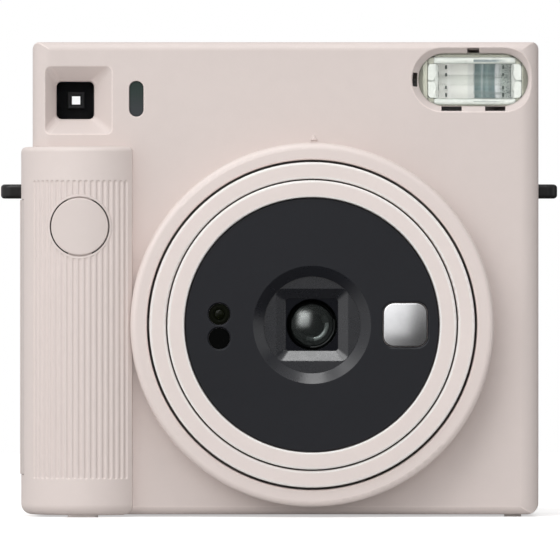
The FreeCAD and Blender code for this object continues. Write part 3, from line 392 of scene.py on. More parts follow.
def polished(name, base, rough=0.06, spec=0.5, ior=1.46, spread=0.1, seed=0.0, grad=None):
    """Polished dark moulding with wipe marks and a little dust."""
    t = Tree(name)
    vec = t.mapped(loc=(seed, 0, seed * 0.3))
    smear = t.noise(130, 4.0, 0.65, vec, 0.4)
    dust = t.noise(2600, 1.0, 0.5, vec)
    col = t.mix(t.remap(smear, 0.3, 0.7, 0.0, 1.0), shade(base, 1 - spread), shade(base, 1 + spread))
    # optional painted shade: a colour gradient along one axis
    if grad is not None:
        (axis, lo, hi, other) = grad
        col = t.mix(t.remap(t.xyz()[axis], lo, hi, 0.0, 1.0, True), col, other)
    col = t.mix(t.remap(dust, 0.74, 0.86, 0.0, 0.10), col, (0.35, 0.35, 0.34))
    e, bn = t.edges(0.0001)
    r = t.math("ADD", t.remap(smear, 0.4, 0.75, rough, rough + 0.07), t.remap(dust, 0.7, 0.85, 0.0, 0.2))
    n = t.bump(smear, 0.02, 0.00005, bn)
    t.principled(col, 0.0, r, ior, spec, n)
    return t.mat


BODY = (0.735, 0.650, 0.620)
# painted light: the lens ring and barrel colour is the body colour made about 13% lighter
BODY_PAINTED_LIGHT = (0.828, 0.739, 0.707)
PLATE = (0.0098, 0.0108, 0.0158)

M = {}
# painted highlight on the rounded lips from the high edge factor and tight lip range; painted light: 7.5% lighter in
# front of y -25.6 to -27.0 mm, the drum's front face
M["body"] = moulded("body_satin", BODY, seed=1, edge=1.32, edge_r=0.00055, crevice_shade=0.93, lip=(0.9996, 0.990), wear_highlight_evenness=0.7,
                    painted_light_band=(-0.0270, -0.0256, 1.075))
# painted light: the grip is the body colour made 5.5% lighter
M["grip"] = moulded("grip_satin", shade(BODY, 1.055), rough=(0.44, 0.54), grain=0.35, seed=2, crevice_shade=0.93, crevice_d=0.0007, edge=1.04)
M["rear"] = moulded("rear_satin", BODY, seed=3)
# painted highlight on the rounded lips beside the gaps, from the high edge factor and tight lip range, besides edge
# wear
M["ring"] = moulded("ring_satin", BODY_PAINTED_LIGHT, rough=(0.36, 0.46), grain=0.25, seed=4, edge=1.38, edge_r=0.00060, lip=(0.9997, 0.992), wear_highlight_evenness=0.75)
M["barrel"] = moulded("barrel_satin", BODY_PAINTED_LIGHT, rough=(0.36, 0.46), grain=0.25, seed=5, edge=1.38, edge_r=0.00060, lip=(0.9997, 0.992), wear_highlight_evenness=0.75)
M["button"] = moulded("button_satin", shade(BODY, 1.01), rough=(0.34, 0.44), grain=0.2, seed=6)
M["door"] = moulded("door_satin", BODY, seed=7)
M["latch"] = moulded("latch_satin", BODY, seed=8, edge=1.08)
M["bdoor"] = moulded("battery_door_satin", BODY, seed=9)
def by_radius(mat, cx, cz, r0, r1, rough_in, painted_shade_depth=None):
    """Polishes a moulding inside a radius, and paints shade on it behind a depth, in the part's own coordinates."""
    nt = mat.node_tree
    p = next(n for n in nt.nodes if n.type == "BSDF_PRINCIPLED")
    tc = nt.nodes.new("ShaderNodeTexCoord")
    sp = nt.nodes.new("ShaderNodeSeparateXYZ")
    nt.links.new(tc.outputs["Object"], sp.inputs[0])

    def m(op, a, b=None):
        n = nt.nodes.new("ShaderNodeMath")
        n.operation = op
        for i, v in enumerate((a, b)):
            if v is None:
                continue
            if isinstance(v, (int, float)):
                n.inputs[i].default_value = v
            else:
                nt.links.new(v, n.inputs[i])
        return n.outputs[0]

    def rng(v, a, b, c, d):
        n = nt.nodes.new("ShaderNodeMapRange")
        n.inputs["From Min"].default_value = a
        n.inputs["From Max"].default_value = b
        n.inputs["To Min"].default_value = c
        n.inputs["To Max"].default_value = d
        nt.links.new(v, n.inputs["Value"])
        return n.outputs["Result"]

    dx = m("SUBTRACT", sp.outputs[0], cx)
    dz = m("SUBTRACT", sp.outputs[2], cz)
    rad = m("SQRT", m("ADD", m("MULTIPLY", dx, dx), m("MULTIPLY", dz, dz)))
    old = p.inputs["Roughness"].links[0].from_socket
    k = rng(rad, r0, r1, rough_in, 1.0)
    nt.links.new(m("MULTIPLY", old, k), p.inputs["Roughness"])
    # painted shade: mixed towards near black where the part lies deeper than the given depth
    if painted_shade_depth is not None:
        oldc = p.inputs["Base Color"].links[0].from_socket
        f = rng(sp.outputs[1], painted_shade_depth[0], painted_shade_depth[1], 0.0, painted_shade_depth[2])
        mx = nt.nodes.new("ShaderNodeMix")
        mx.data_type = "RGBA"
        nt.links.new(f, mx.inputs[0])
        nt.links.new(oldc, mx.inputs[6])
        mx.inputs[7].default_value = (0.002, 0.002, 0.0022, 1)
        nt.links.new(mx.outputs[2], p.inputs["Base Color"])
    return mat


M["plate"] = moulded("plate_charcoal", PLATE, rough=(0.44, 0.52), grain=0.5, grain_scale=3000, edge=1.5, crevice_shade=0.8,
                     spec=0.54, seed=10, spread=0.05)
M["hood"] = moulded("hood_charcoal", PLATE, rough=(0.26, 0.32), grain=0.15, grain_scale=3000, edge=1.8,
                    crevice_shade=0.7, spec=1.0, seed=11, spread=0.05, ior=1.53)
by_radius(M["plate"], 0.00827, 0.04835, 0.0148, 0.01482, 0.62)
# painted shade: the hood is up to 40% darker from its floor inwards
by_radius(M["hood"], 0.00827, 0.04835, 0.02, 0.021, 1.0, (-0.0246, -0.02445, 0.4))


def dull_below(mat, y0, y1, spec, around=None):
    """Gives the far part of a moulding, or the part within a radius, a surface with another reflection level."""
    nt = mat.node_tree
    a = [n for n in nt.nodes if n.type == "BSDF_PRINCIPLED"][0]
    b = nt.nodes.new("ShaderNodeBsdfPrincipled")
    for sock in a.inputs:
        for lk in list(sock.links):
            nt.links.new(lk.from_socket, b.inputs[sock.name])
    b.inputs["IOR"].default_value = a.inputs["IOR"].default_value
    b.inputs["Specular IOR Level"].default_value = spec
    co = nt.nodes.new("ShaderNodeTexCoord")
    sp = nt.nodes.new("ShaderNodeSeparateXYZ")
    nt.links.new(co.outputs["Object"], sp.inputs[0])
    mr2 = nt.nodes.new("ShaderNodeMapRange")
    mr2.inputs["From Min"].default_value = y0
    mr2.inputs["From Max"].default_value = y1
    if around is None:
        nt.links.new(sp.outputs[1], mr2.inputs["Value"])
    else:
        flat = nt.nodes.new("ShaderNodeCombineXYZ")
        nt.links.new(sp.outputs[0], flat.inputs[0])
        nt.links.new(sp.outputs[2], flat.inputs[2])
        away = nt.nodes.new("ShaderNodeVectorMath")
        away.operation = "DISTANCE"
        nt.links.new(flat.outputs[0], away.inputs[0])
        away.inputs[1].default_value = around
        nt.links.new(away.outputs["Value"], mr2.inputs["Value"])
    mx = nt.nodes.new("ShaderNodeMixShader")
    nt.links.new(mr2.outputs[0], mx.inputs[0])
    nt.links.new(a.outputs[0], mx.inputs[1])
    nt.links.new(b.outputs[0], mx.inputs[2])
    out = [n for n in nt.nodes if n.type == "OUTPUT_MATERIAL"][0]
    nt.links.new(mx.outputs[0], out.inputs[0])


dull_below(M["hood"], -0.02446, -0.02442, 0.12)
dull_below(M["plate"], 0.0148, 0.01482, 0.54, (0.00827, 0.0, 0.04835))
PLATE_CONE = [n for n in M["plate"].node_tree.nodes if n.type == "BSDF_PRINCIPLED"][0]
PLATE_CONE.inputs["Specular IOR Level"].default_value = 0.92
M["deep"] = moulded("optics_black", (0.003, 0.003, 0.0032), rough=(0.6, 0.7), grain=0.4, edge=2.0, crevice_shade=0.8,
                    spec=0.1, seed=21, spread=0.1)
# three finishes for one iris ring, used to paint its reflection into an arc
M["iris"] = moulded("iris_ring_black", (0.006, 0.0065, 0.0065), rough=(0.20, 0.26), grain=0.05, edge=1.2, crevice_shade=0.5,
                    spec=1.0, ior=1.85, seed=22, spread=0.06, edge_soft=False, local=True)
M["iris_mid"] = moulded("iris_ring_dimmed_reflection", (0.005, 0.0055, 0.0055), rough=(0.26, 0.34), grain=0.05, edge=1.2, crevice_shade=0.5,
                        spec=0.4, seed=22, spread=0.06, edge_soft=False, local=True)
M["step"] = moulded("cement_step_dark", (0.004, 0.0042, 0.0042), rough=(0.22, 0.28), grain=0.05, edge=1.2, crevice_shade=0.5,
                    spec=0.7, seed=23, spread=0.06, edge_soft=False, local=True)
M["baffle"] = moulded("baffle_dark", (0.004, 0.004, 0.0045), rough=(0.5, 0.6), grain=0.3, edge=1.4, crevice_shade=0.8,
                      spec=0.2, seed=24, spread=0.08, local=True)
M["mask"] = moulded("field_mask_grey", (0.028, 0.028, 0.029), rough=(0.4, 0.5), grain=0.2, edge=1.6, crevice_shade=0.8,
                    spec=0.4, seed=25, spread=0.08, local=True)
M["wire"] = metal("trigger_wire_grey", (0.22, 0.25, 0.24), (0.35, 0.45), (1, 1, 1), 0.0, seed=5)
M["black"] = moulded("black_matt", (0.012, 0.012, 0.013), rough=(0.5, 0.62), grain=0.5, edge=1.9, crevice_shade=0.8, seed=12,
                     spread=0.08)
M["lug"] = moulded("lug_black", (0.016, 0.0155, 0.016), rough=(0.32, 0.42), grain=0.3, edge=2.2, crevice_shade=0.8, seed=13,
                   spread=0.08)
M["flash_house"] = moulded("flash_body_olive", (0.53, 0.53, 0.45), rough=(0.45, 0.6), grain=0.3, edge=1.2,
                           crevice_shade=0.7, seed=14, spread=0.05, local=True)
M["rubber"] = moulded("rubber_matt", (0.03, 0.03, 0.03), rough=(0.68, 0.82), grain=0.7, grain_scale=1600, edge=1.6,
                      crevice_shade=0.9, seed=15, spread=0.08)
M["foot"] = moulded("foot_warm_grey", (0.78, 0.72, 0.69), rough=(0.6, 0.72), grain=0.6, grain_scale=1600, edge=1.15,
                    crevice_shade=0.85, seed=26, spread=0.04)
M["foam"] = moulded("foam_dense", (0.02, 0.02, 0.02), rough=(0.85, 0.95), grain=1.0, grain_scale=900, edge=1.2,
                    crevice_shade=0.9, seed=16, spread=0.15)
M["nylon"] = moulded("nylon_natural", (0.72, 0.71, 0.65), rough=(0.38, 0.5), grain=0.2, edge=1.05, crevice_shade=0.7, seed=17)
M["gloss"] = polished("black_polished", (0.0012, 0.0013, 0.0013), 0.05, 0.10, seed=1)
# painted shade: the smoked window is coloured darker and greener towards its top
M["metering"] = polished("metering_smoked", (0.058, 0.064, 0.069), 0.10, 0.35, seed=2,
                         grad=(2, 0.1012, 0.1092, (0.036, 0.054, 0.048)))
M["door_window"] = pane("door_window_smoked", (0.25, 0.26, 0.25), 1.0, 0.05, body=(0.05, 0.055, 0.052), body_share=0.35)
M["counter_window"] = pane("counter_window_clear", (0.86, 0.88, 0.86), 1.0, 0.04)
M["vf_front"] = pane("viewfinder_front_coated", (0.998, 0.998, 1.0), 0.03, 0.02, coating=(0.45, 0.55, 1.0))
M["vf_eye"] = pane("viewfinder_eyepiece_coated", (0.996, 0.998, 0.996), 0.5, 0.02, coating=(0.8, 0.9, 1.0))
M["flash_window"] = pane("flash_window_clear", (0.988, 0.992, 0.985), 0.7, 0.03)
M["tube"] = pane("flash_tube_glass", (0.985, 0.99, 0.985), 0.25, 0.08, body=(0.75, 0.8, 0.76), body_share=0.02)
M["lens"] = pane("front_lens_coated", (0.90, 0.93, 0.92), 0.20, 0.25, ior=1.5, grime=0.05, tails=False, coating=(0.95, 1.0, 0.98),
                 vary=0.004)
M["rear_lens"] = pane("rear_lens_coated", (0.7, 0.8, 0.8), 0.6, 0.02)
M["sensor_eye"] = polished("sensor_eye_smoked", (0.0050, 0.0062, 0.0022), 0.08, 0.15, seed=3)
M["steel"] = metal("steel_plain", (0.55, 0.55, 0.56))
M["screw"] = metal("screw_zinc", (0.50, 0.50, 0.52), (0.28, 0.42), (1, 1, 1), 0.0, seed=2)
M["spring"] = metal("spring_steel", (0.50, 0.50, 0.52), (0.2, 0.3), (1, 1, 1), 0.1, seed=3)
M["brass"] = metal("brass_turned", (0.75, 0.58, 0.29), (0.2, 0.32), (1, 20, 20), 0.3, seed=4)


def mirror_mat():
    t = Tree("mirror_silvered")
    smear = t.noise(170, 4.0, 0.65)
    dust = t.noise(2200, 1.0, 0.5)
    col = t.mix(t.remap(smear, 0.35, 0.75, 0.0, 1.0), (0.93, 0.93, 0.945), (0.86, 0.865, 0.88))
    col = t.mix(t.remap(dust, 0.75, 0.86, 0.0, 0.25), col, (0.6, 0.6, 0.6))
    r = t.remap(smear, 0.35, 0.8, 0.19, 0.23)
    n = t.bump(smear, 0.02, 0.00005)
    t.principled(col, 1.0, r, 1.46, 0.5, n)
    return t.mat


M["mirror"] = mirror_mat()


def reflector_mat(name="reflector_metallised"):
    """Vacuum-metallised trough shown by painted reflections: pale on one half, dark teal bands on the other, speckled
    at the far end.
    """
    t = Tree(name)
    x, y, z = t.xyz()
    vx = t.mapped(scale=(1, 0.04, 0.04))
    vz = t.mapped(scale=(0.05, 0.05, 1))
    band = t.noise(900, 3.0, 0.6, vx)
    row = t.noise(1100, 3.0, 0.6, vz)
    speck = t.noise(2100, 3.0, 0.6)
    # painted reflections: the colour ramp along x, the dark bands and rows on the right half and the specks at the far
    # end stand for what the trough reflects
    ramp = t.add("ShaderNodeValToRGB")
    ramp.color_ramp.interpolation = "LINEAR"
    stops = [(0.0, (0.836, 0.830, 0.809)), (0.13, (0.857, 0.850, 0.830)), (0.15, (0.961, 0.950, 0.945)), (0.19, (0.878, 0.870, 0.851)),
             (0.40, (0.930, 0.925, 0.895)), (0.42, (0.800, 0.800, 0.785)), (0.498, (0.810, 0.808, 0.795)), (0.502, (0.175, 0.245, 0.250)),
             (0.58, (0.260, 0.350, 0.355)), (0.602, (0.543, 0.600, 0.630)), (0.625, (0.235, 0.325, 0.335)),
             (0.70, (0.305, 0.395, 0.405)), (0.765, (0.200, 0.270, 0.285)), (0.785, (0.815, 0.830, 0.861)),
             (0.845, (0.857, 0.870, 0.882)), (0.87, (0.560, 0.610, 0.585)), (1.0, (0.620, 0.650, 0.635))]
    el = ramp.color_ramp.elements
    el[0].position, el[0].color = stops[0][0], stops[0][1] + (1.0,)
    el[1].position, el[1].color = stops[-1][0], stops[-1][1] + (1.0,)
    for pos, c in stops[1:-1]:
        e1 = el.new(pos)
        e1.color = c + (1.0,)
    t.link(t.remap(x, 0.0399, 0.0587, 0.0, 1.0), ramp.inputs[0])
    col = ramp.outputs["Color"]
    right = t.remap(x, 0.04895, 0.04905, 0.0, 1.0)
    far = t.remap(x, 0.0555, 0.0562, 0.0, 1.0)
    col = t.mix(t.math("MULTIPLY", t.remap(band, 0.45, 0.62, 0.0, 0.5), right), col, (0.09, 0.13, 0.14))
    col = t.mix(t.math("MULTIPLY", t.remap(row, 0.50, 0.62, 0.0, 0.45), right), col, (0.10, 0.14, 0.15))
    col = t.mix(t.math("MULTIPLY", t.remap(speck, 0.52, 0.60, 0.0, 0.75), far), col, (0.62, 0.66, 0.63))
    col = t.mix(t.math("MULTIPLY", t.remap(speck, 0.48, 0.40, 0.0, 0.55), far), col, (0.13, 0.16, 0.16))
    col = t.mix(t.remap(row, 0.35, 0.65, 0.0, 0.16), col, (0.80, 0.83, 0.78))
    e, bn = t.edges(0.00015)
    r = t.remap(speck, 0.3, 0.7, 0.24, 0.36)
    n = t.bump(band, 0.06, 0.00008, bn)
    t.principled(col, 0.0, r, 1.46, 0.3, n)
    return t.mat


M["reflector"] = reflector_mat()


def board_mat():
    t = Tree("board_green")
    vec = t.mapped(scale=(1, 1, 1))
    tracks = t.add("ShaderNodeTexBrick")
    tracks.inputs["Scale"].default_value = 420
    tracks.inputs["Mortar Size"].default_value = 0.06
    tracks.inputs["Color1"].default_value = (0.030, 0.14, 0.07, 1)
    tracks.inputs["Color2"].default_value = (0.026, 0.12, 0.06, 1)
    tracks.inputs["Mortar"].default_value = (0.06, 0.22, 0.11, 1)
    t.link(vec, tracks.inputs["Vector"])
    big = t.noise(90, 3.0, 0.5)
    col = t.mix(t.remap(big, 0.4, 0.6, 0.0, 0.3), tracks.outputs["Color"], (0.02, 0.09, 0.05))
    r = t.remap(big, 0.3, 0.7, 0.28, 0.42)
    n = t.bump(tracks.outputs["Fac"], 0.1, 0.00005)
    t.principled(col, 0.0, r, 1.5, 0.5, n)
    return t.mat


def wrap_mat():
    t = Tree("cell_sleeve")
    z = t.xyz()[2]
    big = t.noise(60, 3.0, 0.5)
    fine = t.noise(1800, 2.0, 0.5)
    col = t.mix(t.remap(big, 0.3, 0.7, 0.0, 1.0), (0.075, 0.095, 0.155), (0.09, 0.11, 0.18))
    r = t.remap(fine, 0.3, 0.7, 0.22, 0.32)
    e, bn = t.edges(0.00015)
    col = t.mix(t.math("MULTIPLY", e, 0.7), col, (0.4, 0.4, 0.42))
    n = t.bump(fine, 0.08, 0.00002, bn)
    t.principled(col, 0.0, r, 1.5, 0.5, n)
    return t.mat


M["board"] = board_mat()
M["wrap"] = wrap_mat()

BY_SLOT = {
    "body_plastic": "body", "dark_plastic": "plate", "black_plastic": "black", "gloss_black": "gloss",
    "lens_glass": "lens", "clear_plastic": "flash_window", "smoked_plastic": "metering", "mirror": "mirror",
    "reflector": "reflector", "steel": "steel", "spring_steel": "spring", "brass": "brass", "nylon": "nylon",
    "rubber": "rubber", "foam": "foam", "circuit_board": "board", "cell_wrap": "wrap",
}
BY_NODE = {
    "grip_cover": "grip", "rear_cover": "rear", "lens_ring": "ring", "lens_barrel": "barrel",
    "shutter_button": "button", "film_door": "door", "door_latch": "latch", "battery_door": "bdoor",
    "lens_hood": "hood", "strap_lug_left": "lug", "strap_lug_right": "lug", "flash_housing": "flash_house",
    "film_door_window": "door_window", "counter_window": "counter_window", "viewfinder_front_lens": "vf_front",
    "viewfinder_eyepiece": "vf_eye", "flash_tube": "tube", "front_lens": "lens", "rear_lens": "rear_lens",
    "light_sensor_lens": "sensor_eye", "case_screws": "screw", "shutter_housing": "deep",
    "shutter_blade_left": "deep", "shutter_blade_right": "deep", "viewfinder_tunnel": "baffle",
    "feet": "foot",
}
for name, ob in NODES.items():
    for s in ob.material_slots:
        key = BY_NODE.get(name) or BY_SLOT[s.material.name.split(".")[0]]
        s.material = M[key]

# ------------------------------------------------------------------ flash reflector in detail
FCX, FCZ = 0.0493, 0.10975          # centre of the reflector's front frame
FHX, FHZ = 0.0118, 0.00605
FY = -0.01574


def plate_from(name, pts, y0, y1, bevel=0.00006):
    """Flat plate with the outline pts (x, z), between y0 and y1."""
    n = len(pts)
    verts = [(x, y0, z) for x, z in pts] + [(x, y1, z) for x, z in pts]
    faces = [tuple(range(n)), tuple(range(2 * n - 1, n - 1, -1))]
    faces += [(k, n + k, n + (k + 1) % n, (k + 1) % n) for k in range(n)]
    ob = new_object(name, verts, faces, False)
    fix_normals(ob)
    return ob


pieces = []
top_z, bot_z = FCZ + FHZ, FCZ - FHZ
# long bars above and below the trough, rolled at their free edge
for (z0, z1, nm) in ((top_z - 0.00175, top_z, "bar_t"), (bot_z, bot_z + 0.00165, "bar_b")):
    x0, x1 = FCX - FHX + 0.0015, FCX + FHX - 0.0015
    c = 0.0005
    prof = [(FY + 0.0005, z0), (FY + 0.0001, z0 + 0.0001), (FY, z0 + 0.0004), (FY - 0.00002, (z0 + z1) / 2),
            (FY, z1 - 0.0004), (FY + 0.0001, z1 - 0.0001), (FY + 0.0005, z1)]
    loops = [[(x, y, z) for y, z in prof] for x in (x0, x0 + c, x1 - c, x1)]
    pieces.append(loft(nm, loops, True, True))
# end cheeks: two fingers each side that grip the tube, with a slit between them
finger = [(0.0, 0.00012), (0.0, 0.0036), (0.0004, 0.0042), (0.0011, 0.0043), (0.0022, 0.0043), (0.00205, 0.0038),
          (0.00195, 0.0026), (0.00235, 0.0022), (0.0018, 0.0005), (0.0013, 0.00012)]
for sx in (-1, 1):
    for sz in (-1, 1):
        pts = [(FCX + sx * (FHX - px), FCZ + sz * pz) for px, pz in finger]
        pieces.append(plate_from("finger", pts, FY, FY + 0.0004))
# shelf behind the fingers
for sx in (-1, 1):
    xa, xb = FCX + sx * (FHX - 0.0001), FCX + sx * (FHX - 0.0026)
    pieces.append(block("cheek", min(xa, xb), max(xa, xb), FY + 0.0009, FY + 0.0012, FCZ - 0.0055, FCZ + 0.0055))
refl_frame = join("flash_reflector_frame", pieces)
bevel_mod(refl_frame, 0.00009, 2)
# trough: parabola from edge to edge
n_sec = 40
tx0, tx1 = FCX - FHX + 0.0024, FCX + FHX - 0.0024
tz0, tz1 = bot_z + 0.00165, top_z - 0.00175
tzc, th = (tz0 + tz1) / 2, (tz1 - tz0) / 2
sect = []
for k in range(n_sec + 1):
    u = -1 + 2.0 * k / n_sec
    sect.append((FY + 0.0003 + 0.0046 * (1 - abs(u) ** 2.2), tzc + th * u))
loops = []
n_col = 48
for i in range(n_col + 1):
    x = tx0 + (tx1 - tx0) * i / n_col
    loops.append([(x, y, z) for y, z in sect])
trough_ob = loft("flash_reflector_trough", loops, True, True, closed=False)


def bright_mat():
    """Bright-dipped metal: pale green-white with rolling marks."""
    t = Tree("reflector_bright")
    vx = t.mapped(scale=(0.1, 1, 1))
    roll = t.noise(1500, 3.0, 0.6, vx)
    blot = t.noise(420, 3.0, 0.6)
    col = t.mix(t.remap(roll, 0.3, 0.7, 0.0, 1.0), (0.60, 0.625, 0.595), (0.69, 0.71, 0.675))
    col = t.mix(t.remap(blot, 0.5, 0.72, 0.0, 0.5), col, (0.80, 0.83, 0.79))
    # painted shade: darker where ambient occlusion finds crevices
    ao = t.crevice(0.0006, 1.0, True)
    col = t.mix(t.remap(ao, 0.2, 0.8, 1.0, 0.0), col, (0.42, 0.45, 0.42))
    e, bn = t.edges(0.0001)
    col = t.mix(t.math("MULTIPLY", e, 0.7), col, (0.95, 0.97, 0.95))
    r = t.remap(blot, 0.3, 0.7, 0.22, 0.38)
    n = t.bump(roll, 0.10, 0.00003, bn)
    x, y, z = t.xyz()
    # painted reflection: a dark band across the top bar and a fainter one across the bottom bar, on the right half only
    right = t.math("MULTIPLY", t.remap(x, 0.04895, 0.04905, 0.0, 1.0), t.remap(x, 0.0545, 0.0575, 1.0, 0.0))
    upper = t.math("MULTIPLY", t.remap(z, 0.11450, 0.11462, 0.0, 1.0), t.remap(z, 0.11510, 0.11522, 1.0, 0.0))
    lower = t.math("MULTIPLY", t.remap(z, 0.10435, 0.10445, 0.0, 1.0), t.remap(z, 0.10465, 0.10475, 1.0, 0.0))
    col = t.mix(t.math("MULTIPLY", right, upper), col, (0.14, 0.19, 0.20))
    col = t.mix(t.math("MULTIPLY", t.math("MULTIPLY", right, lower), 0.7), col, (0.24, 0.27, 0.26))
    t.principled(col, 0.0, r, 1.5, 0.7, n)
    return t.mat


M["bright"] = bright_mat()
put(refl_frame, "camera", M["bright"])
put(trough_ob, "camera", M["reflector"])
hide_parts("flash_reflector")
# dark supports and the trigger wire's loops round the tube, seen through the window
dark = []
for sx in (-1, 1):
    for (z0, z1) in ((0.0030, 0.0040), (0.0012, 0.0020), (-0.0020, -0.0012), (-0.0040, -0.0030)):
        xc = FCX + sx * (FHX - 0.0046)
        dark.append(block("mark", xc - 0.00022, xc + 0.00022, FY + 0.0010, FY + 0.0034, FCZ + z0, FCZ + z1))
    for (z0, z1) in ((0.0009, 0.0024), (-0.0024, -0.0009), (0.0036, 0.0041), (-0.0041, -0.0036)):
        xc = FCX + sx * (FHX - 0.0026)
        dark.append(block("mark", xc - 0.00013, xc + 0.00013, FY + 0.0013, FY + 0.0030, FCZ + z0, FCZ + z1))
wires = join("flash_tube_supports", dark)
bevel_mod(wires, 0.0001, 2)
put(wires, "camera", M["wire"])
# olive shields that fill the round ends of the window
pieces = []
for sx in (-1, 1):
    pts = []
    cx0 = 0.0489 + sx * 0.0075
    for k in range(25):
        a = math.radians(-90 + 180.0 * k / 24)
        pts.append((cx0 + sx * 0.00655 * math.cos(a), 0.11005 + 0.0066 * math.sin(a)))
    xin = FCX + sx * (FHX + 0.0001)
    pts = [(max(x, xin) if sx > 0 else min(x, xin), z) for x, z in pts]
    clean = []
    for p in pts:
        if not clean or (Vector(p) - Vector(clean[-1])).length > 1e-6:
            clean.append(p)
    pieces.append(plate_from("shield", clean, FY + 0.0001, FY + 0.0004))
for z0, z1 in ((FCZ + FHZ + 0.00004, 0.1163), (0.1038, FCZ - FHZ - 0.00004)):
    pieces.append(block("strip", 0.0392, 0.0586, FY + 0.0001, FY + 0.0004, z0, z1))
for sx in (-1, 1):
    for sz in (-1, 1):
        xa, xb = FCX + sx * (FHX - 0.00005), FCX + sx * (FHX - 0.0017)
        za, zb = FCZ + sz * 0.00425, FCZ + sz * 0.0060
        pieces.append(block("corner", min(xa, xb), max(xa, xb), FY + 0.0006, FY + 0.0008, min(za, zb), max(za, zb)))
shields = join("flash_end_shields", pieces)
put(shields, "camera", M["flash_house"])

# ------------------------------------------------------------------ field mask inside the viewfinder
VX, VZ = -0.0512, 0.1050


def square_ring(name, cx, cz, rows, r=0.0):
    """rows: (half width, y); a square tube wall through them."""
    loops = []
    for h, y in rows:
        k = 6
        lp = []
        for (sx, sz, ex, ez) in ((-1, -1, 1, -1), (1, -1, 1, 1), (1, 1, -1, 1), (-1, 1, -1, -1)):
            for i in range(k):
                u = i / k
                lp.append((cx + h * (sx + (ex - sx) * u), y, cz + h * (sz + (ez - sz) * u)))
        loops.append(lp)
    loops.append(loops[0])
    ob = loft(name, loops, smooth=False)
    bm = bmesh.new()
    bm.from_mesh(ob.data)
    bmesh.ops.remove_doubles(bm, verts=bm.verts, dist=1e-8)
    bmesh.ops.recalc_face_normals(bm, faces=bm.faces)
    bm.to_mesh(ob.data)
    bm.free()
    return ob


mask = square_ring("viewfinder_field_mask", VX, VZ, [(0.00205, -0.01050), (0.00190, -0.01062), (0.00150, -0.01062),
                                                    (0.00108, -0.00995), (0.00108, -0.00985), (0.00205, -0.00985)])
put(mask, "camera", M["mask"])

# ------------------------------------------------------------------ lens internals behind the front element
LCX, LCZ = 0.00827, 0.04835
iris = turned("lens_iris_ring", LCX, LCZ, [(0.00265, -0.02080), (0.0042, -0.02152), (0.0043, -0.02146),
                                          (0.00265, -0.02067)], closed_profile=True)
put(iris, "lens_barrel", M["iris"])
iris.data.materials.append(M["iris_mid"])
iris.data.materials.append(M["deep"])
# painted reflection: only the arc within 45 degrees of the lower right keeps the glossy black, the next band the less
# reflective copy, and the rest of the ring is matt black
for poly in iris.data.polygons:
    a = math.degrees(math.atan2(poly.center.z - LCZ, poly.center.x - LCX))
    off = abs((a + 38 + 180) % 360 - 180)
    poly.material_index = 0 if off < 45 else 1 if off < 74 else 2
stepr = turned("lens_cement_step", LCX, LCZ, [(0.00540, -0.02185), (0.0059, -0.02208), (0.0059, -0.02200),
                                             (0.00540, -0.02177)], closed_profile=True)
put(stepr, "lens_barrel", M["step"])
stepr.data.materials.append(M["deep"])
# painted reflection: only the arc within 55 degrees of the lower right keeps the reflective step finish, the rest of
# the ring is matt black
for poly in stepr.data.polygons:
    a = math.degrees(math.atan2(poly.center.z - LCZ, poly.center.x - LCX))
    poly.material_index = 0 if abs((a + 40 + 180) % 360 - 180) < 55 else 1

# ------------------------------------------------------------------ camera
DIST = 2.5
PLANE_Y = -0.014
CX, CZ = 0.00025, 0.0596
cam_data = bpy.data.cameras.new("Camera")
cam = bpy.data.objects.new("Camera", cam_data)
SCENE.collection.objects.link(cam)
cam.location = (CX, PLANE_Y - DIST, CZ)
cam.rotation_euler = (math.radians(90), 0, 0)
cam_data.sensor_width = 36.0
cam_data.lens = 36.0 * DIST / 0.14117
cam_data.clip_start = 0.05
cam_data.clip_end = 30.0
SCENE.camera = cam

# ------------------------------------------------------------------ floor, world and studio lights
seg = 96
fv = [(0, 0, 0)] + [(0.9 * math.cos(2 * math.pi * k / seg), 0.9 * math.sin(2 * math.pi * k / seg), 0)
                    for k in range(seg)]
floor = new_object("floor", fv, [(0, 1 + k, 1 + (k + 1) % seg) for k in range(seg)], False)
ft = Tree("floor_white")
fn = ft.noise(60, 4.0, 0.6)
seen = ft.add("ShaderNodeLightPath").outputs["Is Camera Ray"]
fc = ft.mix(ft.remap(fn, 0.3, 0.7, 0.0, 1.0), (0.90, 0.90, 0.90), (0.92, 0.92, 0.92))
fc = ft.mix(seen, (0.55, 0.545, 0.54), fc)
fp = ft.principled(fc, 0.0, 0.8, 1.4, 0.0, emission=(1, 1, 1))
ft.link(ft.math("ADD", ft.math("MULTIPLY", seen, 0.34), 0.10), fp.inputs["Emission Strength"])
floor.data.materials.append(ft.mat)
floor.visible_glossy = False

world = bpy.data.worlds.new("World")
SCENE.world = world
world.use_nodes = True
wt = world.node_tree
wt.nodes.clear()
wo = wt.nodes.new("ShaderNodeOutputWorld")
tc = wt.nodes.new("ShaderNodeTexCoord")
dt = wt.nodes.new("ShaderNodeVectorMath")
dt.operation = "DOT_PRODUCT"
dt.inputs[1].default_value = Vector((-0.64, 0.0, 0.77)).normalized()
wt.links.new(tc.outputs["Generated"], dt.inputs[0])
mr = wt.nodes.new("ShaderNodeMapRange")
mr.interpolation_type = "SMOOTHSTEP"
mr.inputs["From Min"].default_value = -0.24
mr.inputs["From Max"].default_value = 0.38
mr.inputs["To Min"].default_value = 0.06
mr.inputs["To Max"].default_value = 0.62
wt.links.new(dt.outputs["Value"], mr.inputs["Value"])
soft = wt.nodes.new("ShaderNodeBackground")
wt.links.new(mr.outputs["Result"], soft.inputs["Strength"])
soft.inputs["Color"].default_value = (1.0, 0.995, 0.99, 1)
plain = wt.nodes.new("ShaderNodeBackground")
plain.inputs["Color"].default_value = (1, 1, 1, 1)
plain.inputs["Strength"].default_value = 1.0
lp = wt.nodes.new("ShaderNodeLightPath")
wm = wt.nodes.new("ShaderNodeMixShader")
wt.links.new(lp.outputs["Is Camera Ray"], wm.inputs[0])
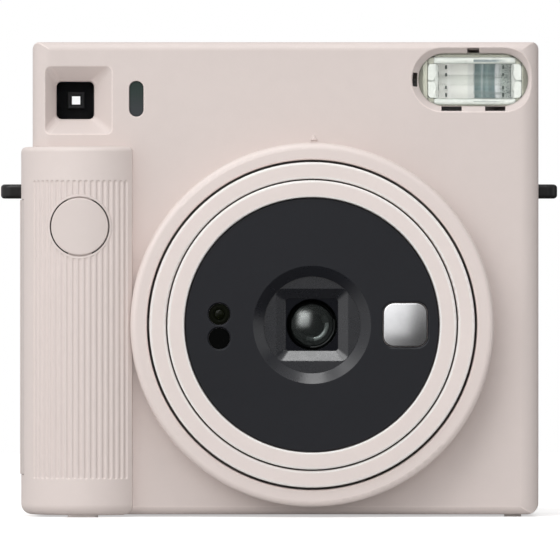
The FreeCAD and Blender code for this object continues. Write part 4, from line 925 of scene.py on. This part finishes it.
wt.links.new(soft.outputs[0], wm.inputs[1])
wt.links.new(plain.outputs[0], wm.inputs[2])
wt.links.new(wm.outputs[0], wo.inputs[0])


def area(name, az, el, dist, size, power, size_y=None, color=(1, 1, 1), target=(0, 0, 0.06)):
    d = bpy.data.lights.new(name, "AREA")
    d.energy = power
    d.color = color
    if size_y:
        d.shape = "RECTANGLE"
        d.size, d.size_y = size, size_y
    else:
        d.shape = "SQUARE"
        d.size = size
    o = bpy.data.objects.new(name, d)
    SCENE.collection.objects.link(o)
    a, e = math.radians(az), math.radians(el)
    # az 0 is in front of the object (-Y), positive towards +X
    o.location = Vector(target) + dist * Vector((math.sin(a) * math.cos(e), -math.cos(a) * math.cos(e), math.sin(e)))
    o.rotation_euler = (Vector(target) - o.location).to_track_quat("-Z", "Y").to_euler()
    o.visible_camera = False
    return o


def lit(name, az, el, dist, size, radiance, size_y=None):
    a = size * (size_y or size)
    return area(name, az, el, dist, size, radiance * math.pi * a, size_y)


key = lit("key", -37, 36, 1.5, 1.05, 2.12)
fill = lit("fill", 24, 12, 1.5, 0.95, 0.44)
side = lit("side", 80, 12, 1.5, 1.0, 0.72)
top = lit("top", -4, 64, 1.3, 0.5, 4.6)
front = lit("front", -9, 3, 1.5, 1.0, 0.73)      # only the pale mouldings
pale = bpy.data.collections.new("pale_mouldings")
for ob in NODES.values():
    if ob.data.materials and ob.data.materials[0] in (M["body"], M["ring"], M["barrel"], M["button"], M["foot"], M["grip"]):
        pale.objects.link(ob)
front.light_linking.receiver_collection = pale
# the grip throws no shadow of the key and front lights on the front face
no_grip = bpy.data.collections.new("all_but_grip")
for k, name in enumerate(("grip_cover", "shutter_button")):
    no_grip.objects.link(NODES[name])
    no_grip.collection_objects[k].light_linking.link_state = "EXCLUDE"
for o in (key, front):
    o.light_linking.blocker_collection = no_grip
SCENE.view_settings.view_transform = "Standard"

# glint: a tall softbox that only the glass of the lens sees
GLINT_FLIP_U, GLINT_FLIP_V = True, False
glint = area("glint", -20.5, 2, 1.0, 0.50, 146.0, size_y=1.15, target=(0.00827, -0.0243, 0.04835))
glass = bpy.data.collections.new("lens_glass_only")
glass.objects.link(NODES["front_lens"])
glint.light_linking.receiver_collection = glass
no_lens = bpy.data.collections.new("all_but_lens_glass")
no_lens.objects.link(NODES["front_lens"])
no_lens.collection_objects[0].light_linking.link_state = "EXCLUDE"
for o in (key, top):
    o.light_linking.receiver_collection = no_lens
no_glass = bpy.data.collections.new("all_but_lens_and_mirror")
for k, ob in enumerate((NODES["front_lens"], NODES["selfie_mirror"])):
    no_glass.objects.link(ob)
    no_glass.collection_objects[k].light_linking.link_state = "EXCLUDE"
fill.light_linking.receiver_collection = no_glass
# the side light leaves the inner edge of the grip in shade
no_grip_side = bpy.data.collections.new("all_but_lens_mirror_and_grip")
for k, name in enumerate(("front_lens", "selfie_mirror", "grip_cover")):
    no_grip_side.objects.link(NODES[name])
    no_grip_side.collection_objects[k].light_linking.link_state = "EXCLUDE"
side.light_linking.receiver_collection = no_grip_side
# the lens card fades from its upper left corner
gl = glint.data
gl.use_nodes = True
gn = gl.node_tree
em = [n for n in gn.nodes if n.type == "EMISSION"][0]
gg = gn.nodes.new("ShaderNodeNewGeometry")
gs = gn.nodes.new("ShaderNodeSeparateXYZ")
gn.links.new(gg.outputs["Parametric"], gs.inputs[0])


def gmath(op, a, b):
    n = gn.nodes.new("ShaderNodeMath")
    n.operation = op
    n.use_clamp = False
    for k, v in enumerate((a, b)):
        if isinstance(v, (int, float)):
            n.inputs[k].default_value = v
        else:
            gn.links.new(v, n.inputs[k])
    return n.outputs[0]


across = gmath("POWER", gmath("SUBTRACT", 1.0, gs.outputs[0]) if GLINT_FLIP_U else gs.outputs[0], 1.3)
up = gmath("POWER", gs.outputs[1] if not GLINT_FLIP_V else gmath("SUBTRACT", 1.0, gs.outputs[1]), 1.6)
level = gmath("ADD", gmath("MULTIPLY", across, 0.30), gmath("MULTIPLY", up, 0.75))
gn.links.new(gmath("MULTIPLY", gmath("ADD", level, 0.03), 1.0), em.inputs["Strength"])
# a card that only the flash reflector takes up, and one for the little mirror
card_f = lit("flash_card", 4, 9, 1.5, 0.9, 5.5)
only_f = bpy.data.collections.new("flash_reflector_only")
for ob in (refl_frame, trough_ob, shields):
    only_f.objects.link(ob)
card_f.light_linking.receiver_collection = only_f
card_m = lit("mirror_card", -16.5, 15, 1.5, 1.24, 0.46)
only_m = bpy.data.collections.new("mirror_only")
only_m.objects.link(NODES["selfie_mirror"])
card_m.light_linking.receiver_collection = only_m
